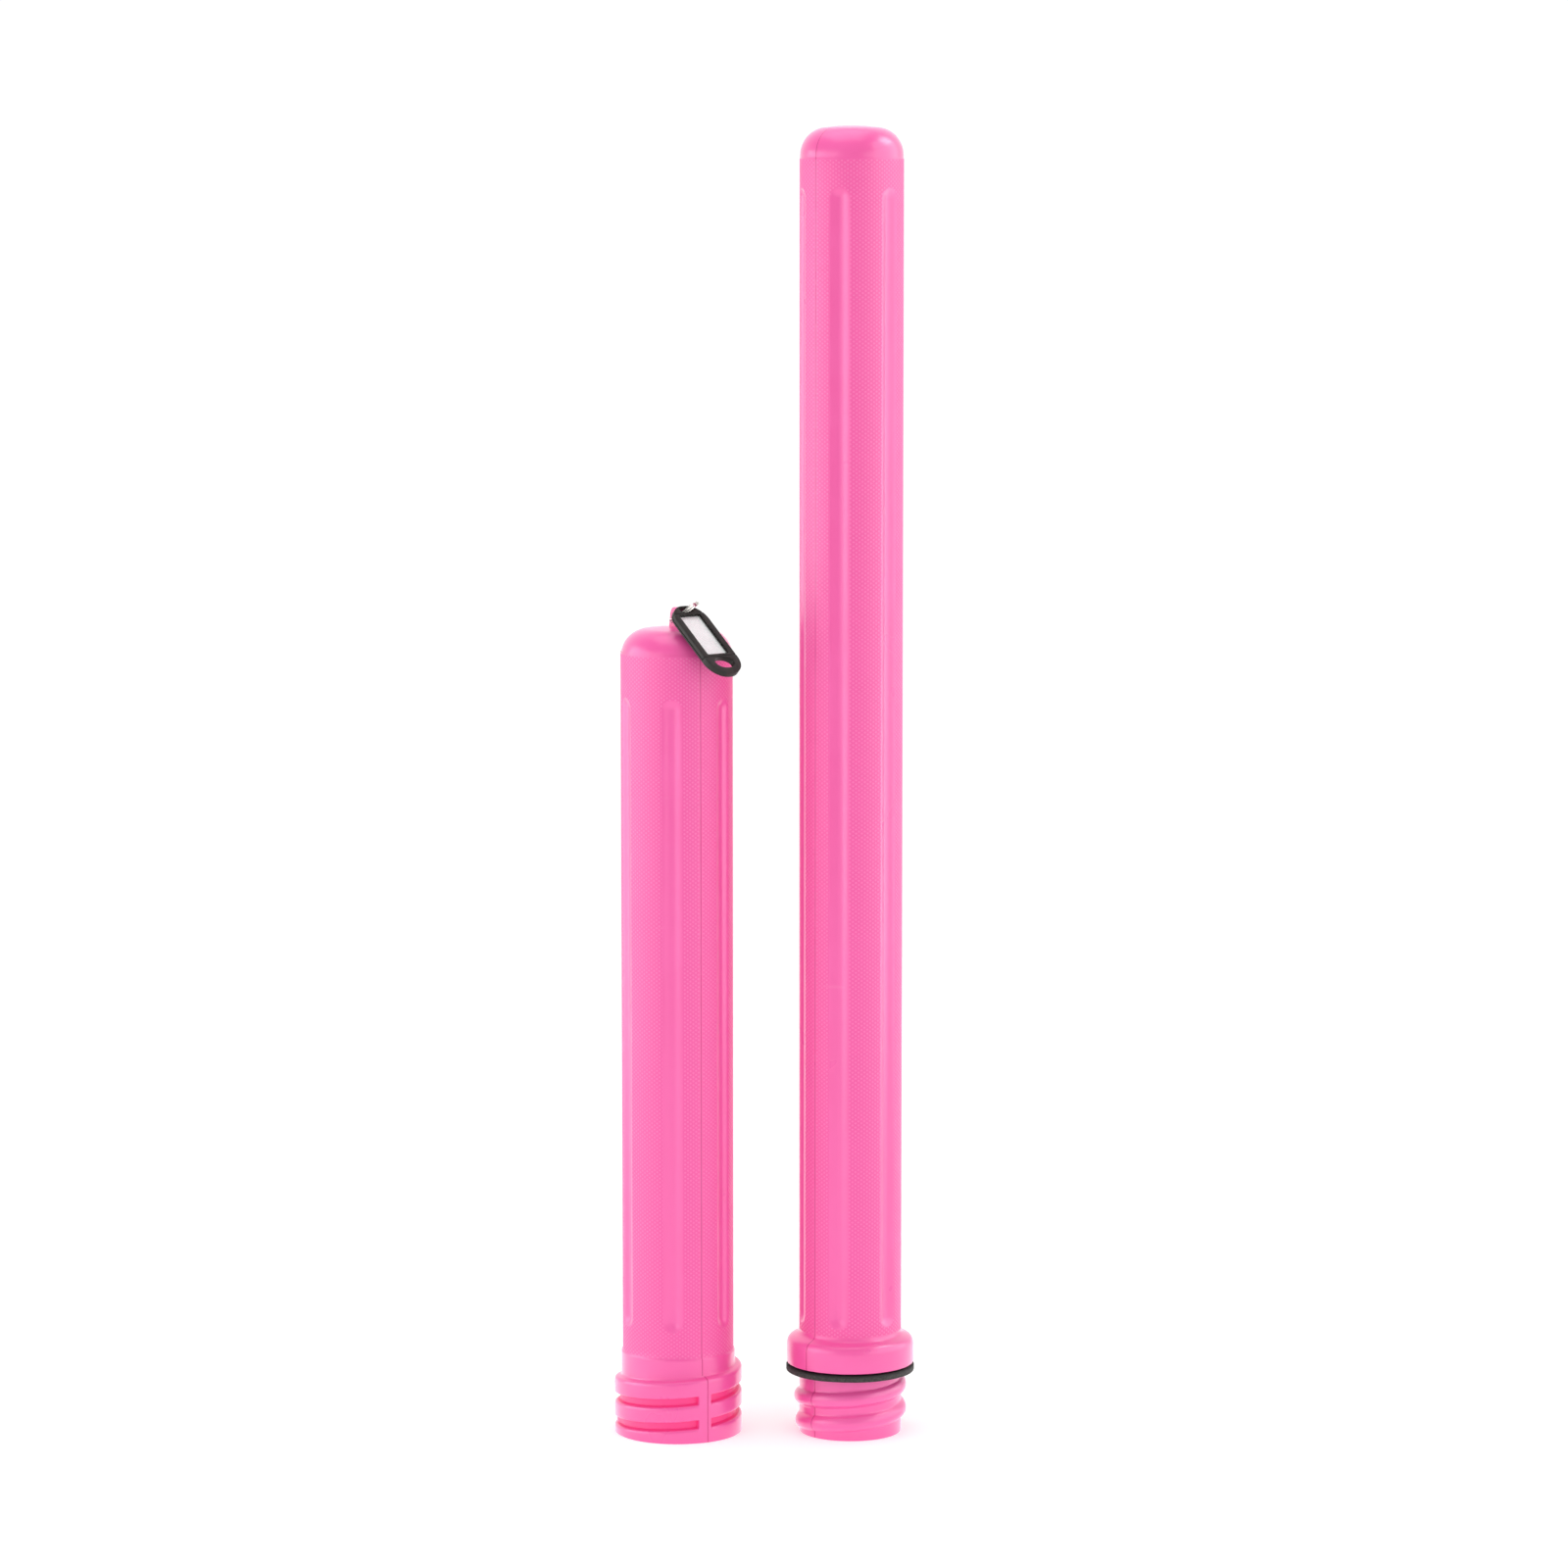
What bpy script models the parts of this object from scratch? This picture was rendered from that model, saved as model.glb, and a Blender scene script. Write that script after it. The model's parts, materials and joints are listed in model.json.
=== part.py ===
"""Two-piece drawing tube with a split ring and an address tag, in metres, +Z up.

The long half carries a male screw neck and a foam sealing washer, the short half a
female screw mouth and a moulded lug. Both stand on their mouths, side by side.
"""
import math

import bmesh
import bpy
from mathutils import Matrix, Vector

MM = 0.001
GAP = 0.3 * MM                      # clearance between pieces that meet

# Thread shared by both halves: single start, right-handed
PITCH = 12.8 * MM
THREAD_BASE = 6.4 * MM              # height of the lowest turn's centre on the -X side
WALL = 1.9 * MM

# Short half, with the female mouth
SHORT_HEIGHT = 432.0 * MM
SHORT_RADIUS = 29.6 * MM
SHORT_BAND_RADIUS = 30.35 * MM      # smooth band between the grained body and the mouth
SHORT_BAND_TOP = 44.6 * MM
MOUTH_RADIUS = 34.0 * MM
MOUTH_HEIGHT = 30.7 * MM            # on the -X side; the shoulder climbs with the thread
SLOT_HEIGHT = 4.6 * MM
SLOT_DEPTH = 2.9 * MM
SHORT_FLUTES = (59.0 * MM, 396.0 * MM)
SHORT_SEAM = math.radians(-64.0)

# Long half, with the male neck
LONG_HEIGHT = 694.0 * MM
LONG_RADIUS = 27.25 * MM
THREAD_HEIGHT = 2.85 * MM
THREAD_WIDTH = 8.4 * MM
COLLAR_RADIUS = 33.9 * MM
COLLAR_BOTTOM = 37.6 * MM
COLLAR_TOP = 54.4 * MM
COLLAR_EDGE = 0.7 * MM              # rounding of the collar's lower edge
COLLAR_SHOULDER = [(0.0, 6.0), (0.8, 3.6), (2.8, 2.0)]  # (inset, drop) in mm, sloped top
LONG_FLUTES = (60.0 * MM, 662.0 * MM)
LONG_SEAM = math.radians(-134.0)

DOME_CORNER = 14.5 * MM
DOME_CROWN = 0.8 * MM
FLUTE_COUNT = 6
FLUTE_DEPTH = 0.8 * MM
FLUTE_HALF_WIDTH = 4.8 * MM
FLUTE_COLUMNS = (-9.3, -4.0, 4.0, 9.3)  # degrees from the flute's middle: edges and floor
PLAIN_COLUMN = math.radians(7.0)    # column on each side of the middle between two flutes
LAND_HALF_ANGLE = math.radians(5.8) # plain strip left on each side of the parting line
LAND_MARGIN = 0.001                 # radians, so that a column on the land's edge counts as land
ROW_STEP = 0.25 * MM                # least height between two rows of the thread
AXIS_SPACING = 92.0 * MM            # between the two halves' axes

WASHER_OUTER = 34.2 * MM
WASHER_INNER = 28.0 * MM
WASHER_THICKNESS = 3.4 * MM
WASHER_DROP = 1.0 * MM              # gap under the collar

# Lug on the short half's dome, in the parting plane
LUG_WIDTH = 10.4 * MM
LUG_THICKNESS = 2.6 * MM
EYE_HEIGHT = 437.2 * MM
EYE_RADIUS = 2.8 * MM

# Split ring: two flat coils side by side
RING_RADIUS = 8.6 * MM              # to the middle of the wire
RING_WIRE_DEPTH = 1.2 * MM
RING_WIRE_WIDTH = 1.2 * MM
RING_TILT = math.radians(35.0)
RING_GROOVE = 0.12 * MM             # half-width of the groove between the two coils
SLOT_FROM_EYE = (4.6 * MM, -15.3 * MM, 3.8 * MM)

# Address tag, measured from the middle of its window; "down" runs away from the ring
TAG_RING_END = 21.1 * MM
TAG_FINGER_END = 28.6 * MM
TAG_WIDTH = 23.0 * MM
TAG_THICKNESS = 3.4 * MM
TAG_FLOOR = 1.0 * MM
TAG_SLOT_AT = -17.9 * MM
TAG_SLOT = (10.4 * MM, 4.0 * MM)
TAG_HOLE_AT = 20.6 * MM
TAG_HOLE = (13.0 * MM, 8.0 * MM)
LID_FROM, LID_TO = -15.4 * MM, 16.0 * MM
WINDOW = (14.4 * MM, 28.8 * MM)
WINDOW_THICKNESS = 0.5 * MM
LABEL_THICKNESS = 0.25 * MM
TAG_DIP = math.radians(41.2)        # slope of the tag below the horizontal
TAG_HEADING = math.radians(-45.0)   # compass direction that the tag slopes towards

COLOURS = {
    "pink": ((0.93, 0.14, 0.42, 1.0), 0.42, 0.0),
    "foam": ((0.022, 0.017, 0.016, 1.0), 0.95, 0.0),
    "steel": ((0.72, 0.70, 0.67, 1.0), 0.25, 1.0),
    "charcoal": ((0.030, 0.030, 0.031, 1.0), 0.45, 0.0),
    "clear": ((0.92, 0.94, 0.94, 1.0), 0.08, 0.0),
    "paper": ((0.84, 0.85, 0.84, 1.0), 0.80, 0.0),
}


def clear_scene():
    for obj in list(bpy.data.objects):
        bpy.data.objects.remove(obj, do_unlink=True)


def new_collection(name):
    collection = bpy.data.collections.new(name)
    bpy.context.scene.collection.children.link(collection)
    return collection


def material(name, finish):
    colour, roughness, metallic = COLOURS[finish]
    mat = bpy.data.materials.new(name)
    mat.use_nodes = True
    shader = mat.node_tree.nodes["Principled BSDF"]
    shader.inputs["Base Color"].default_value = colour
    shader.inputs["Roughness"].default_value = roughness
    shader.inputs["Metallic"].default_value = metallic
    return mat


def add_object(name, mesh, collection, finish):
    obj = bpy.data.objects.new(name, mesh)
    collection.objects.link(obj)
    if finish:
        mesh.materials.clear()
        mesh.materials.append(material(name, finish))
    return obj


def evaluated_mesh(obj):
    """The object's mesh with its modifiers or curve settings worked out, welded."""
    graph = bpy.context.evaluated_depsgraph_get()
    mesh = bpy.data.meshes.new_from_object(obj.evaluated_get(graph))
    bm = bmesh.new()
    bm.from_mesh(mesh)
    bmesh.ops.remove_doubles(bm, verts=bm.verts, dist=0.001 * MM)
    bm.to_mesh(mesh)
    bm.free()
    return mesh


def smooth(mesh, angle=35.0):
    mesh.shade_smooth()
    mesh.set_sharp_from_angle(angle=math.radians(angle))


# ---- The two moulded halves -------------------------------------------------------

def column_angles(seam):
    """Angles of the shell's columns for one turn, starting on the rear parting line.

    Flutes lie 60 degrees apart with the parting line midway between two of them.
    """
    rear = seam - math.pi
    sector = 2.0 * math.pi / FLUTE_COUNT
    flute_offsets = [math.radians(a) for a in FLUTE_COLUMNS]
    angles = [rear]
    for index in range(FLUTE_COUNT):
        start = rear + index * sector
        middle = start + 0.5 * sector
        on_seam = index % (FLUTE_COUNT // 2) == 0
        angles.append(start + (LAND_HALF_ANGLE if on_seam else PLAIN_COLUMN))
        angles += [middle + offset for offset in flute_offsets]
        next_on_seam = (index + 1) % (FLUTE_COUNT // 2) == 0
        angles.append(start + sector - (LAND_HALF_ANGLE if next_on_seam else PLAIN_COLUMN))
        if index + 1 == FLUTE_COUNT // 2:
            angles.append(seam)
    return angles


def climb(angle):
    """Height gained by the thread since it passed the -X side."""
    return PITCH * (angle + math.pi) / (2.0 * math.pi)


def turn_weight(angle, seam, turn, front_land):
    """1 where a turn of the thread is full, 0 where it has run out or meets a land."""
    rear = seam - math.pi
    past_rear = min(angle - rear, rear + 2.0 * math.pi - angle)
    if past_rear < LAND_HALF_ANGLE + LAND_MARGIN:
        return 0.0
    if front_land and abs(angle - seam) < LAND_HALF_ANGLE + LAND_MARGIN:
        return 0.0
    if turn == 0:
        start, full = math.radians(-197.0), math.radians(-165.0)
        return min(1.0, max(0.0, (angle - start) / (full - start)))
    return 1.0


def thread_rows(angles, seam, section, front_land, root):
    """Rows of (radius, height) that follow two turns of the thread.

    section holds (offset from the turn's centre, share of the depth, depth) points.
    On the rear parting line the rows meet half-way between their two ends.
    """
    rows = []
    for turn in range(2):
        for offset, share, depth in section:
            row = []
            level = ROW_STEP * (len(rows) + 1)
            for index, angle in enumerate(angles):
                lift = climb(angle)
                if index == 0:
                    lift += 0.5 * PITCH
                height = THREAD_BASE + turn * PITCH + lift + offset
                weight = turn_weight(angle, seam, turn, front_land)
                row.append((root + depth * share * weight, max(height, level)))
            rows.append(row)
    return rows


def level_row(angles, radius, height):
    return [(radius, height)] * len(angles)


def flute_rows(angles, seam, radius, span):
    """Rows that press the flutes into the body, with rounded ends."""
    low, high = span
    half = FLUTE_HALF_WIDTH
    heights = [low, low + 0.3 * half, low + half]
    heights += [high - half, high - 0.3 * half, high]
    sector = 2.0 * math.pi / FLUTE_COUNT
    rows = []
    for height in heights:
        row = []
        for angle in angles:
            past = (angle - seam) % sector - 0.5 * sector
            across = radius * past
            along = max(low + half - height, height - high + half, 0.0)
            reach = math.hypot(across, along) / half
            depth = FLUTE_DEPTH * max(0.0, 1.0 - reach ** 4)
            row.append((radius - depth, height))
        rows.append(row)
    return rows


def dome_rows(angles, radius, top, steps=5):
    """Quarter-round corner, then a slightly crowned top."""
    rows = []
    for step in range(steps + 1):
        turn = 0.5 * math.pi * step / steps
        across = radius - DOME_CORNER * (1.0 - math.cos(turn))
        height = top - DOME_CROWN - DOME_CORNER * (1.0 - math.sin(turn))
        rows.append(level_row(angles, across, height))
    return rows


def shell(name, angles, rows, top, collection):
    """Outer skin through the rows, closed at the dome, given its wall by Solidify."""
    bm = bmesh.new()
    rings = []
    for row in rows:
        ring = []
        for angle, (radius, height) in zip(angles, row):
            place = (radius * math.cos(angle), radius * math.sin(angle), height)
            ring.append(bm.verts.new(place))
        rings.append(ring)
    count = len(angles)
    for lower, upper in zip(rings, rings[1:]):
        for index in range(count):
            after = (index + 1) % count
            bm.faces.new((lower[index], lower[after], upper[after], upper[index]))
    pole = bm.verts.new((0.0, 0.0, top))
    for index in range(count):
        bm.faces.new((rings[-1][index], rings[-1][(index + 1) % count], pole))
    mesh = bpy.data.meshes.new(name)
    bm.to_mesh(mesh)
    bm.free()
    smooth(mesh)
    obj = add_object(name, mesh, collection, "pink")
    wall = obj.modifiers.new("wall", "SOLIDIFY")
    wall.thickness = WALL
    wall.offset = -1.0
    wall.use_even_offset = True
    return obj


def make_short_half(collection, cutters):
    angles = column_angles(SHORT_SEAM)
    half = 0.5 * SLOT_HEIGHT
    flank = 0.7 * MM
    slot = [(-half, 0.0, 0.0), (flank - half, 1.0, -SLOT_DEPTH),
            (half - flank, 1.0, -SLOT_DEPTH), (half, 0.0, 0.0)]
    rows = [level_row(angles, MOUTH_RADIUS, 0.0)]
    rows += thread_rows(angles, SHORT_SEAM, slot, True, MOUTH_RADIUS)
    shoulder = [(MOUTH_RADIUS, -2.4 * MM), (MOUTH_RADIUS - 1.2 * MM, -0.6 * MM),
                (SHORT_BAND_RADIUS, 0.0)]
    for radius, drop in shoulder:
        row = []
        for index, angle in enumerate(angles):
            lift = climb(angle) + (0.5 * PITCH if index == 0 else 0.0)
            row.append((radius, MOUTH_HEIGHT + lift + drop))
        rows.append(row)
    rows.append(level_row(angles, SHORT_BAND_RADIUS, SHORT_BAND_TOP))
    rows.append(level_row(angles, SHORT_RADIUS, SHORT_BAND_TOP + 0.8 * MM))
    rows += flute_rows(angles, SHORT_SEAM, SHORT_RADIUS, SHORT_FLUTES)
    rows += dome_rows(angles, SHORT_RADIUS, SHORT_HEIGHT)
    half_shell = shell("short_half", angles, rows, SHORT_HEIGHT, collection)

    cut(half_shell, make_lug(cutters), "lug", "UNION")
    return half_shell


def make_lug(cutters):
    """Flat tab with a round head and eye, standing in the parting plane."""
    half = 0.5 * LUG_WIDTH
    foot = SHORT_HEIGHT - 1.1 * MM - EYE_HEIGHT
    head = arc((0.0, 0.0), (half, half), 0, 180, 12)
    outline = [(half + 1.0 * MM, foot)] + head + [(-half - 1.0 * MM, foot)]
    eye = arc((0.0, 0.0), (EYE_RADIUS, EYE_RADIUS), 0, 342, 19)
    mesh = outline_curve("lug", [outline, eye], LUG_THICKNESS, cutters)
    mesh.transform(Matrix.Translation((0.0, 0.0, -0.5 * LUG_THICKNESS)))
    lug = add_object("lug_tool", mesh, cutters, None)
    stand = Matrix.Rotation(0.5 * math.pi, 4, "X")
    turn = Matrix.Rotation(SHORT_SEAM, 4, "Z")
    lug.matrix_world = Matrix.Translation((0.0, 0.0, EYE_HEIGHT)) @ turn @ stand
    return lug


def make_long_half(collection):
    angles = column_angles(LONG_SEAM)
    half = 0.5 * THREAD_WIDTH
    ridge = [(-half, 0.0, THREAD_HEIGHT), (-0.62 * half, 0.7, THREAD_HEIGHT),
             (-0.2 * half, 1.0, THREAD_HEIGHT), (0.2 * half, 1.0, THREAD_HEIGHT),
             (0.62 * half, 0.7, THREAD_HEIGHT), (half, 0.0, THREAD_HEIGHT)]
    rows = [level_row(angles, LONG_RADIUS, 0.0)]
    rows += thread_rows(angles, LONG_SEAM, ridge, False, LONG_RADIUS)
    collar = [(LONG_RADIUS, COLLAR_BOTTOM), (COLLAR_RADIUS - COLLAR_EDGE, COLLAR_BOTTOM),
              (COLLAR_RADIUS, COLLAR_BOTTOM + COLLAR_EDGE)]
    collar += [(COLLAR_RADIUS - inset * MM, COLLAR_TOP - drop * MM)
               for inset, drop in COLLAR_SHOULDER]
    collar.append((LONG_RADIUS, COLLAR_TOP))
    rows += [level_row(angles, radius, height) for radius, height in collar]
    rows += flute_rows(angles, LONG_SEAM, LONG_RADIUS, LONG_FLUTES)
    rows += dome_rows(angles, LONG_RADIUS, LONG_HEIGHT)
    return shell("long_half", angles, rows, LONG_HEIGHT, collection)


def turned(name, profile, steps, collection, finish):
    """A closed profile of (radius, height) points turned about Z."""
    mesh = bpy.data.meshes.new(name)
    edges = [(k, (k + 1) % len(profile)) for k in range(len(profile))]
    mesh.from_pydata([(r, 0.0, z) for r, z in profile], edges, [])
    obj = add_object(name, mesh, collection, finish)
    screw = obj.modifiers.new("turn", "SCREW")
    screw.axis = "Z"
    screw.steps = steps
    screw.render_steps = steps
    screw.use_merge_vertices = True
    screw.merge_threshold = 0.01 * MM
    return obj


def make_washer(collection):
    top = COLLAR_BOTTOM - WASHER_DROP
    low = top - WASHER_THICKNESS
    profile = [(WASHER_INNER, top), (WASHER_OUTER, top), (WASHER_OUTER, low),
               (WASHER_INNER, low)]
    return turned("sealing_washer", profile, 48, collection, "foam")


# ---- Ring and tag -----------------------------------------------------------------

def tag_frame():
    """Origin and axes of the tag: across (X), down its length (Y), outwards (Z)."""
    down = Vector((math.cos(TAG_DIP) * math.cos(TAG_HEADING),
                   math.cos(TAG_DIP) * math.sin(TAG_HEADING), -math.sin(TAG_DIP)))
    across = Vector((-math.sin(TAG_HEADING), math.cos(TAG_HEADING), 0.0))
    out = down.cross(across)
    return across, down, out


def hang_points():
    """Where the ring passes the tag's slot, and the ring's centre and axis."""
    eye = Vector((0.0, 0.0, EYE_HEIGHT))
    slot = eye + Vector(SLOT_FROM_EYE)
    chord = slot - eye
    lean = Vector((math.cos(RING_TILT), 0.0, math.sin(RING_TILT)))
    side = (lean - lean.project(chord)).normalized()
    offset = math.sqrt(RING_RADIUS ** 2 - (0.5 * chord.length) ** 2)
    centre = eye + 0.5 * chord + offset * side
    normal = chord.cross(side).normalized()
    return slot, centre, normal


def make_split_ring(collection):
    """Two turns of flat wire pressed side by side, joined where they cross over."""
    _, centre, normal = hang_points()
    half = RING_WIRE_WIDTH
    inner = RING_RADIUS - 0.5 * RING_WIRE_DEPTH
    outer = RING_RADIUS + 0.5 * RING_WIRE_DEPTH
    groove = RING_GROOVE
    profile = [(inner, half), (outer, half), (outer, groove), (outer - 2.0 * groove, 0.0),
               (outer, -groove), (outer, -half), (inner, -half)]
    ring = turned("split_ring", profile, 40, collection, "steel")
    turn = normal.to_track_quat("Z", "Y").to_matrix().to_4x4()
    ring.matrix_world = Matrix.Translation(centre) @ turn
    return ring


def outline_curve(name, loops, thickness, cutters):
    """Flat plate between z = 0 and z = thickness, from an outline and its holes."""
    curve = bpy.data.curves.new(name, "CURVE")
    curve.dimensions = "2D"
    curve.fill_mode = "BOTH"
    curve.extrude = 0.5 * thickness
    for points in loops:
        spline = curve.splines.new("POLY")
        spline.points.add(len(points) - 1)
        for point, (x, y) in zip(spline.points, points):
            point.co = (x, y, 0.0, 1.0)
        spline.use_cyclic_u = True
    flat = bpy.data.objects.new(name + "_flat", curve)
    cutters.objects.link(flat)
    mesh = evaluated_mesh(flat)
    bpy.data.objects.remove(flat, do_unlink=True)
    mesh.transform(Matrix.Translation((0.0, 0.0, 0.5 * thickness)))
    return mesh


def arc(centre, radius, start, end, steps):
    points = []
    for k in range(steps + 1):
        angle = math.radians(start + (end - start) * k / steps)
        points.append((centre[0] + radius[0] * math.cos(angle),
                       centre[1] + radius[1] * math.sin(angle)))
    return points


def rounded_box(width, length, corner, middle=(0.0, 0.0), steps=3):
    x = 0.5 * width - corner
    y = 0.5 * length - corner
    points = []
    for sx, sy, start in ((1, 1, 0), (-1, 1, 90), (-1, -1, 180), (1, -1, 270)):
        centre = (middle[0] + sx * x, middle[1] + sy * y)
        points += arc(centre, (corner, corner), start, start + 90, steps)
    return points


def tag_outline():
    """Round finger end at +Y, softer corners at the ring end."""
    half = 0.5 * TAG_WIDTH
    corner = 8.5 * MM
    points = arc((0.0, TAG_FINGER_END - 10.6 * MM), (half, 10.6 * MM), 0, 180, 12)
    points += arc((corner - half, corner - TAG_RING_END), (corner, corner), 180, 270, 5)
    points += arc((half - corner, corner - TAG_RING_END), (corner, corner), 270, 360, 5)
    return points


def cut(obj, tool, name, operation="DIFFERENCE"):
    boolean = obj.modifiers.new(name, "BOOLEAN")
    boolean.operation = operation
    boolean.object = tool
    tool.hide_render = True
    tool.display_type = "WIRE"


def box_tool(name, low, high, cutters):
    bpy.ops.mesh.primitive_cube_add(size=1.0)
    tool = bpy.context.active_object
    tool.name = name
    for collection in list(tool.users_collection):
        collection.objects.unlink(tool)
    cutters.objects.link(tool)
    size = [b - a for a, b in zip(low, high)]
    middle = [0.5 * (a + b) for a, b in zip(low, high)]
    tool.data.transform(Matrix.Translation(middle) @ Matrix.Diagonal((*size, 1.0)))
    return tool


def make_tag(collection, cutters):
    """Tray, hinged lid frame, clear window and paper label, stacked outwards."""
    slot = rounded_box(*TAG_SLOT, 1.2 * MM, (0.0, TAG_SLOT_AT))
    hole = arc((0.0, TAG_HOLE_AT), (0.5 * TAG_HOLE[0], 0.5 * TAG_HOLE[1]), 0, 345, 23)
    tray_mesh = outline_curve("tray", [tag_outline(), slot, hole], TAG_THICKNESS, cutters)
    tray = add_object("tag_tray", tray_mesh, collection, "charcoal")
    half = 0.5 * TAG_WIDTH
    seat = box_tool("lid_seat_tool", (-half - MM, LID_FROM - GAP, TAG_FLOOR),
                    (half + MM, LID_TO + GAP, TAG_THICKNESS + MM), cutters)
    cut(tray, seat, "lid_seat")

    lid_middle = (0.0, 0.5 * (LID_FROM + LID_TO))
    lid_height = TAG_THICKNESS - TAG_FLOOR - GAP
    frame = rounded_box(TAG_WIDTH, LID_TO - LID_FROM, 0.3 * MM, lid_middle, 1)
    opening = rounded_box(*WINDOW, 0.5 * MM, steps=2)
    lid = add_object("tag_lid", outline_curve("lid", [frame, opening], lid_height, cutters),
                     collection, "charcoal")
    pocket_x = 0.5 * WINDOW[0] + 1.1 * MM
    pocket_y = 0.5 * WINDOW[1] + 0.35 * MM
    pocket = box_tool("window_seat_tool", (-pocket_x, -pocket_y, -MM),
                      (pocket_x, pocket_y, 1.3 * MM), cutters)
    cut(lid, pocket, "window_seat")

    window_size = (2.0 * (pocket_x - GAP), 2.0 * (pocket_y - 0.2 * MM))
    window = add_object("tag_window", outline_curve(
        "window", [rounded_box(*window_size, 0.3 * MM, steps=1)], WINDOW_THICKNESS,
        cutters), collection, "clear")
    label_size = (2.0 * (pocket_x - 2.0 * GAP), 2.0 * (pocket_y - 0.5 * MM))
    label = add_object("tag_label", outline_curve(
        "label", [rounded_box(*label_size, 0.3 * MM, steps=1)], LABEL_THICKNESS,
        cutters), collection, "paper")

    # Heights of each piece's underside above the tray's back
    stack = {tray: 0.0, lid: TAG_FLOOR + GAP, label: TAG_FLOOR + GAP,
             window: TAG_FLOOR + 2.0 * GAP + LABEL_THICKNESS}
    across, down, out = tag_frame()
    axes = Matrix((across, down, out)).transposed().to_4x4()
    slot_place = hang_points()[0]
    local_slot = Vector((0.0, TAG_SLOT_AT, 0.5 * TAG_THICKNESS))
    origin = slot_place - axes.to_3x3() @ local_slot
    tools = {tray: seat, lid: pocket}
    for piece, height in stack.items():
        lift = Matrix.Translation((0.0, 0.0, height))
        piece.matrix_world = Matrix.Translation(origin) @ axes @ lift
        if piece in tools:
            tools[piece].matrix_world = piece.matrix_world
    return tray, lid, window, label


def centre_on_origin(pieces, holders):
    """Slide everything so that the object stands on the origin, centred over it."""
    bpy.context.view_layer.update()
    graph = bpy.context.evaluated_depsgraph_get()
    lows = [math.inf] * 2
    highs = [-math.inf] * 2
    for piece in pieces:
        seen = piece.evaluated_get(graph)
        for vertex in seen.data.vertices:
            place = seen.matrix_world @ vertex.co
            for axis in range(2):
                lows[axis] = min(lows[axis], place[axis])
                highs[axis] = max(highs[axis], place[axis])
    shift = Vector([-0.5 * (a + b) for a, b in zip(lows, highs)] + [0.0])
    for holder in holders:
        holder.location = holder.location + shift


def main():
    clear_scene()
    parts = new_collection("drawing_tube")
    cutters = new_collection("cutters")
    short_holder = bpy.data.objects.new("short_stand", None)
    long_holder = bpy.data.objects.new("long_stand", None)
    for holder in (short_holder, long_holder):
        parts.objects.link(holder)

    short_half = make_short_half(parts, cutters)
    ring = make_split_ring(parts)
    tag = make_tag(parts, cutters)
    tools = [obj for obj in cutters.objects if obj.type == "MESH"]
    for piece in [short_half, ring, *tag, *tools]:
        piece.parent = short_holder
    long_half = make_long_half(parts)
    washer = make_washer(parts)
    for piece in (long_half, washer):
        piece.parent = long_holder

    short_holder.location.x = -0.5 * AXIS_SPACING
    long_holder.location.x = 0.5 * AXIS_SPACING
    pieces = [short_half, ring, *tag, long_half, washer]
    centre_on_origin(pieces, (short_holder, long_holder))


main()
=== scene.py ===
import json
import math

import bpy
from mathutils import Matrix, Vector


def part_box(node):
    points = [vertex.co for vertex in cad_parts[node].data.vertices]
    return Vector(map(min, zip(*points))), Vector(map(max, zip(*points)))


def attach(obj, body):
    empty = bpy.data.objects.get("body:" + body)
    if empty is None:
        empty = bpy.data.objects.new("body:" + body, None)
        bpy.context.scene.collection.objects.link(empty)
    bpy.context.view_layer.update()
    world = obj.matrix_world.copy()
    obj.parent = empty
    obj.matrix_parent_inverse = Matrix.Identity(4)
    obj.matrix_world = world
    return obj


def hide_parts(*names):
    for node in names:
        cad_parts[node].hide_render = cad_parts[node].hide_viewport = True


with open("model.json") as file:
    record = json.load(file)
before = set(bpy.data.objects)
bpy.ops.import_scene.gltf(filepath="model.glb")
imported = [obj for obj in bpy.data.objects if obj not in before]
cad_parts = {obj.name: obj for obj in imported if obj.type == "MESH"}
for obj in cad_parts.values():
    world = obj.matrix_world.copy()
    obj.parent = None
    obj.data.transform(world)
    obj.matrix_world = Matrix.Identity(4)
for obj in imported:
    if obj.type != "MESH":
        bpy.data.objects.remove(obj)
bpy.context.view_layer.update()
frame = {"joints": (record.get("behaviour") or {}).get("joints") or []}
joints = {joint["name"]: joint for joint in frame["joints"]}
mm = 0.001
turn = 2.0 * math.pi
print("frame loaded")

# places that the record gives: the eye of the lug, the tag's slot, the long half's axis, the washer
eyePlace = Vector(joints["ring_swing"]["pos_m"])
slotPlace = Vector(joints["tag_swing"]["pos_m"])
longAxis = Vector(joints["tube_turn"]["pos_m"])
washerLow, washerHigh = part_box("sealing_washer")


# small helpers for objects

def onlySelect(obj):
    if bpy.context.mode != "OBJECT":
        bpy.ops.object.mode_set(mode="OBJECT")
    bpy.ops.object.select_all(action="DESELECT")
    obj.select_set(True)
    bpy.context.view_layer.objects.active = obj


def applyModifier(obj, kind, **settings):
    onlySelect(obj)
    modifier = obj.modifiers.new(kind.lower(), kind)
    for key, value in settings.items():
        setattr(modifier, key, value)
    bpy.ops.object.modifier_apply(modifier=modifier.name)


def cutWith(obj, tool, operation="DIFFERENCE"):
    applyModifier(obj, "BOOLEAN", operation=operation, object=tool, solver="EXACT")
    bpy.data.objects.remove(tool)


def addBox(name, low, high):
    bpy.ops.mesh.primitive_cube_add(size=1.0)
    obj = bpy.context.active_object
    obj.name = name
    size = Vector(high) - Vector(low)
    middle = (Vector(high) + Vector(low)) / 2
    obj.data.transform(Matrix.Translation(middle) @ Matrix.Diagonal((*size, 1.0)))
    return obj


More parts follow.
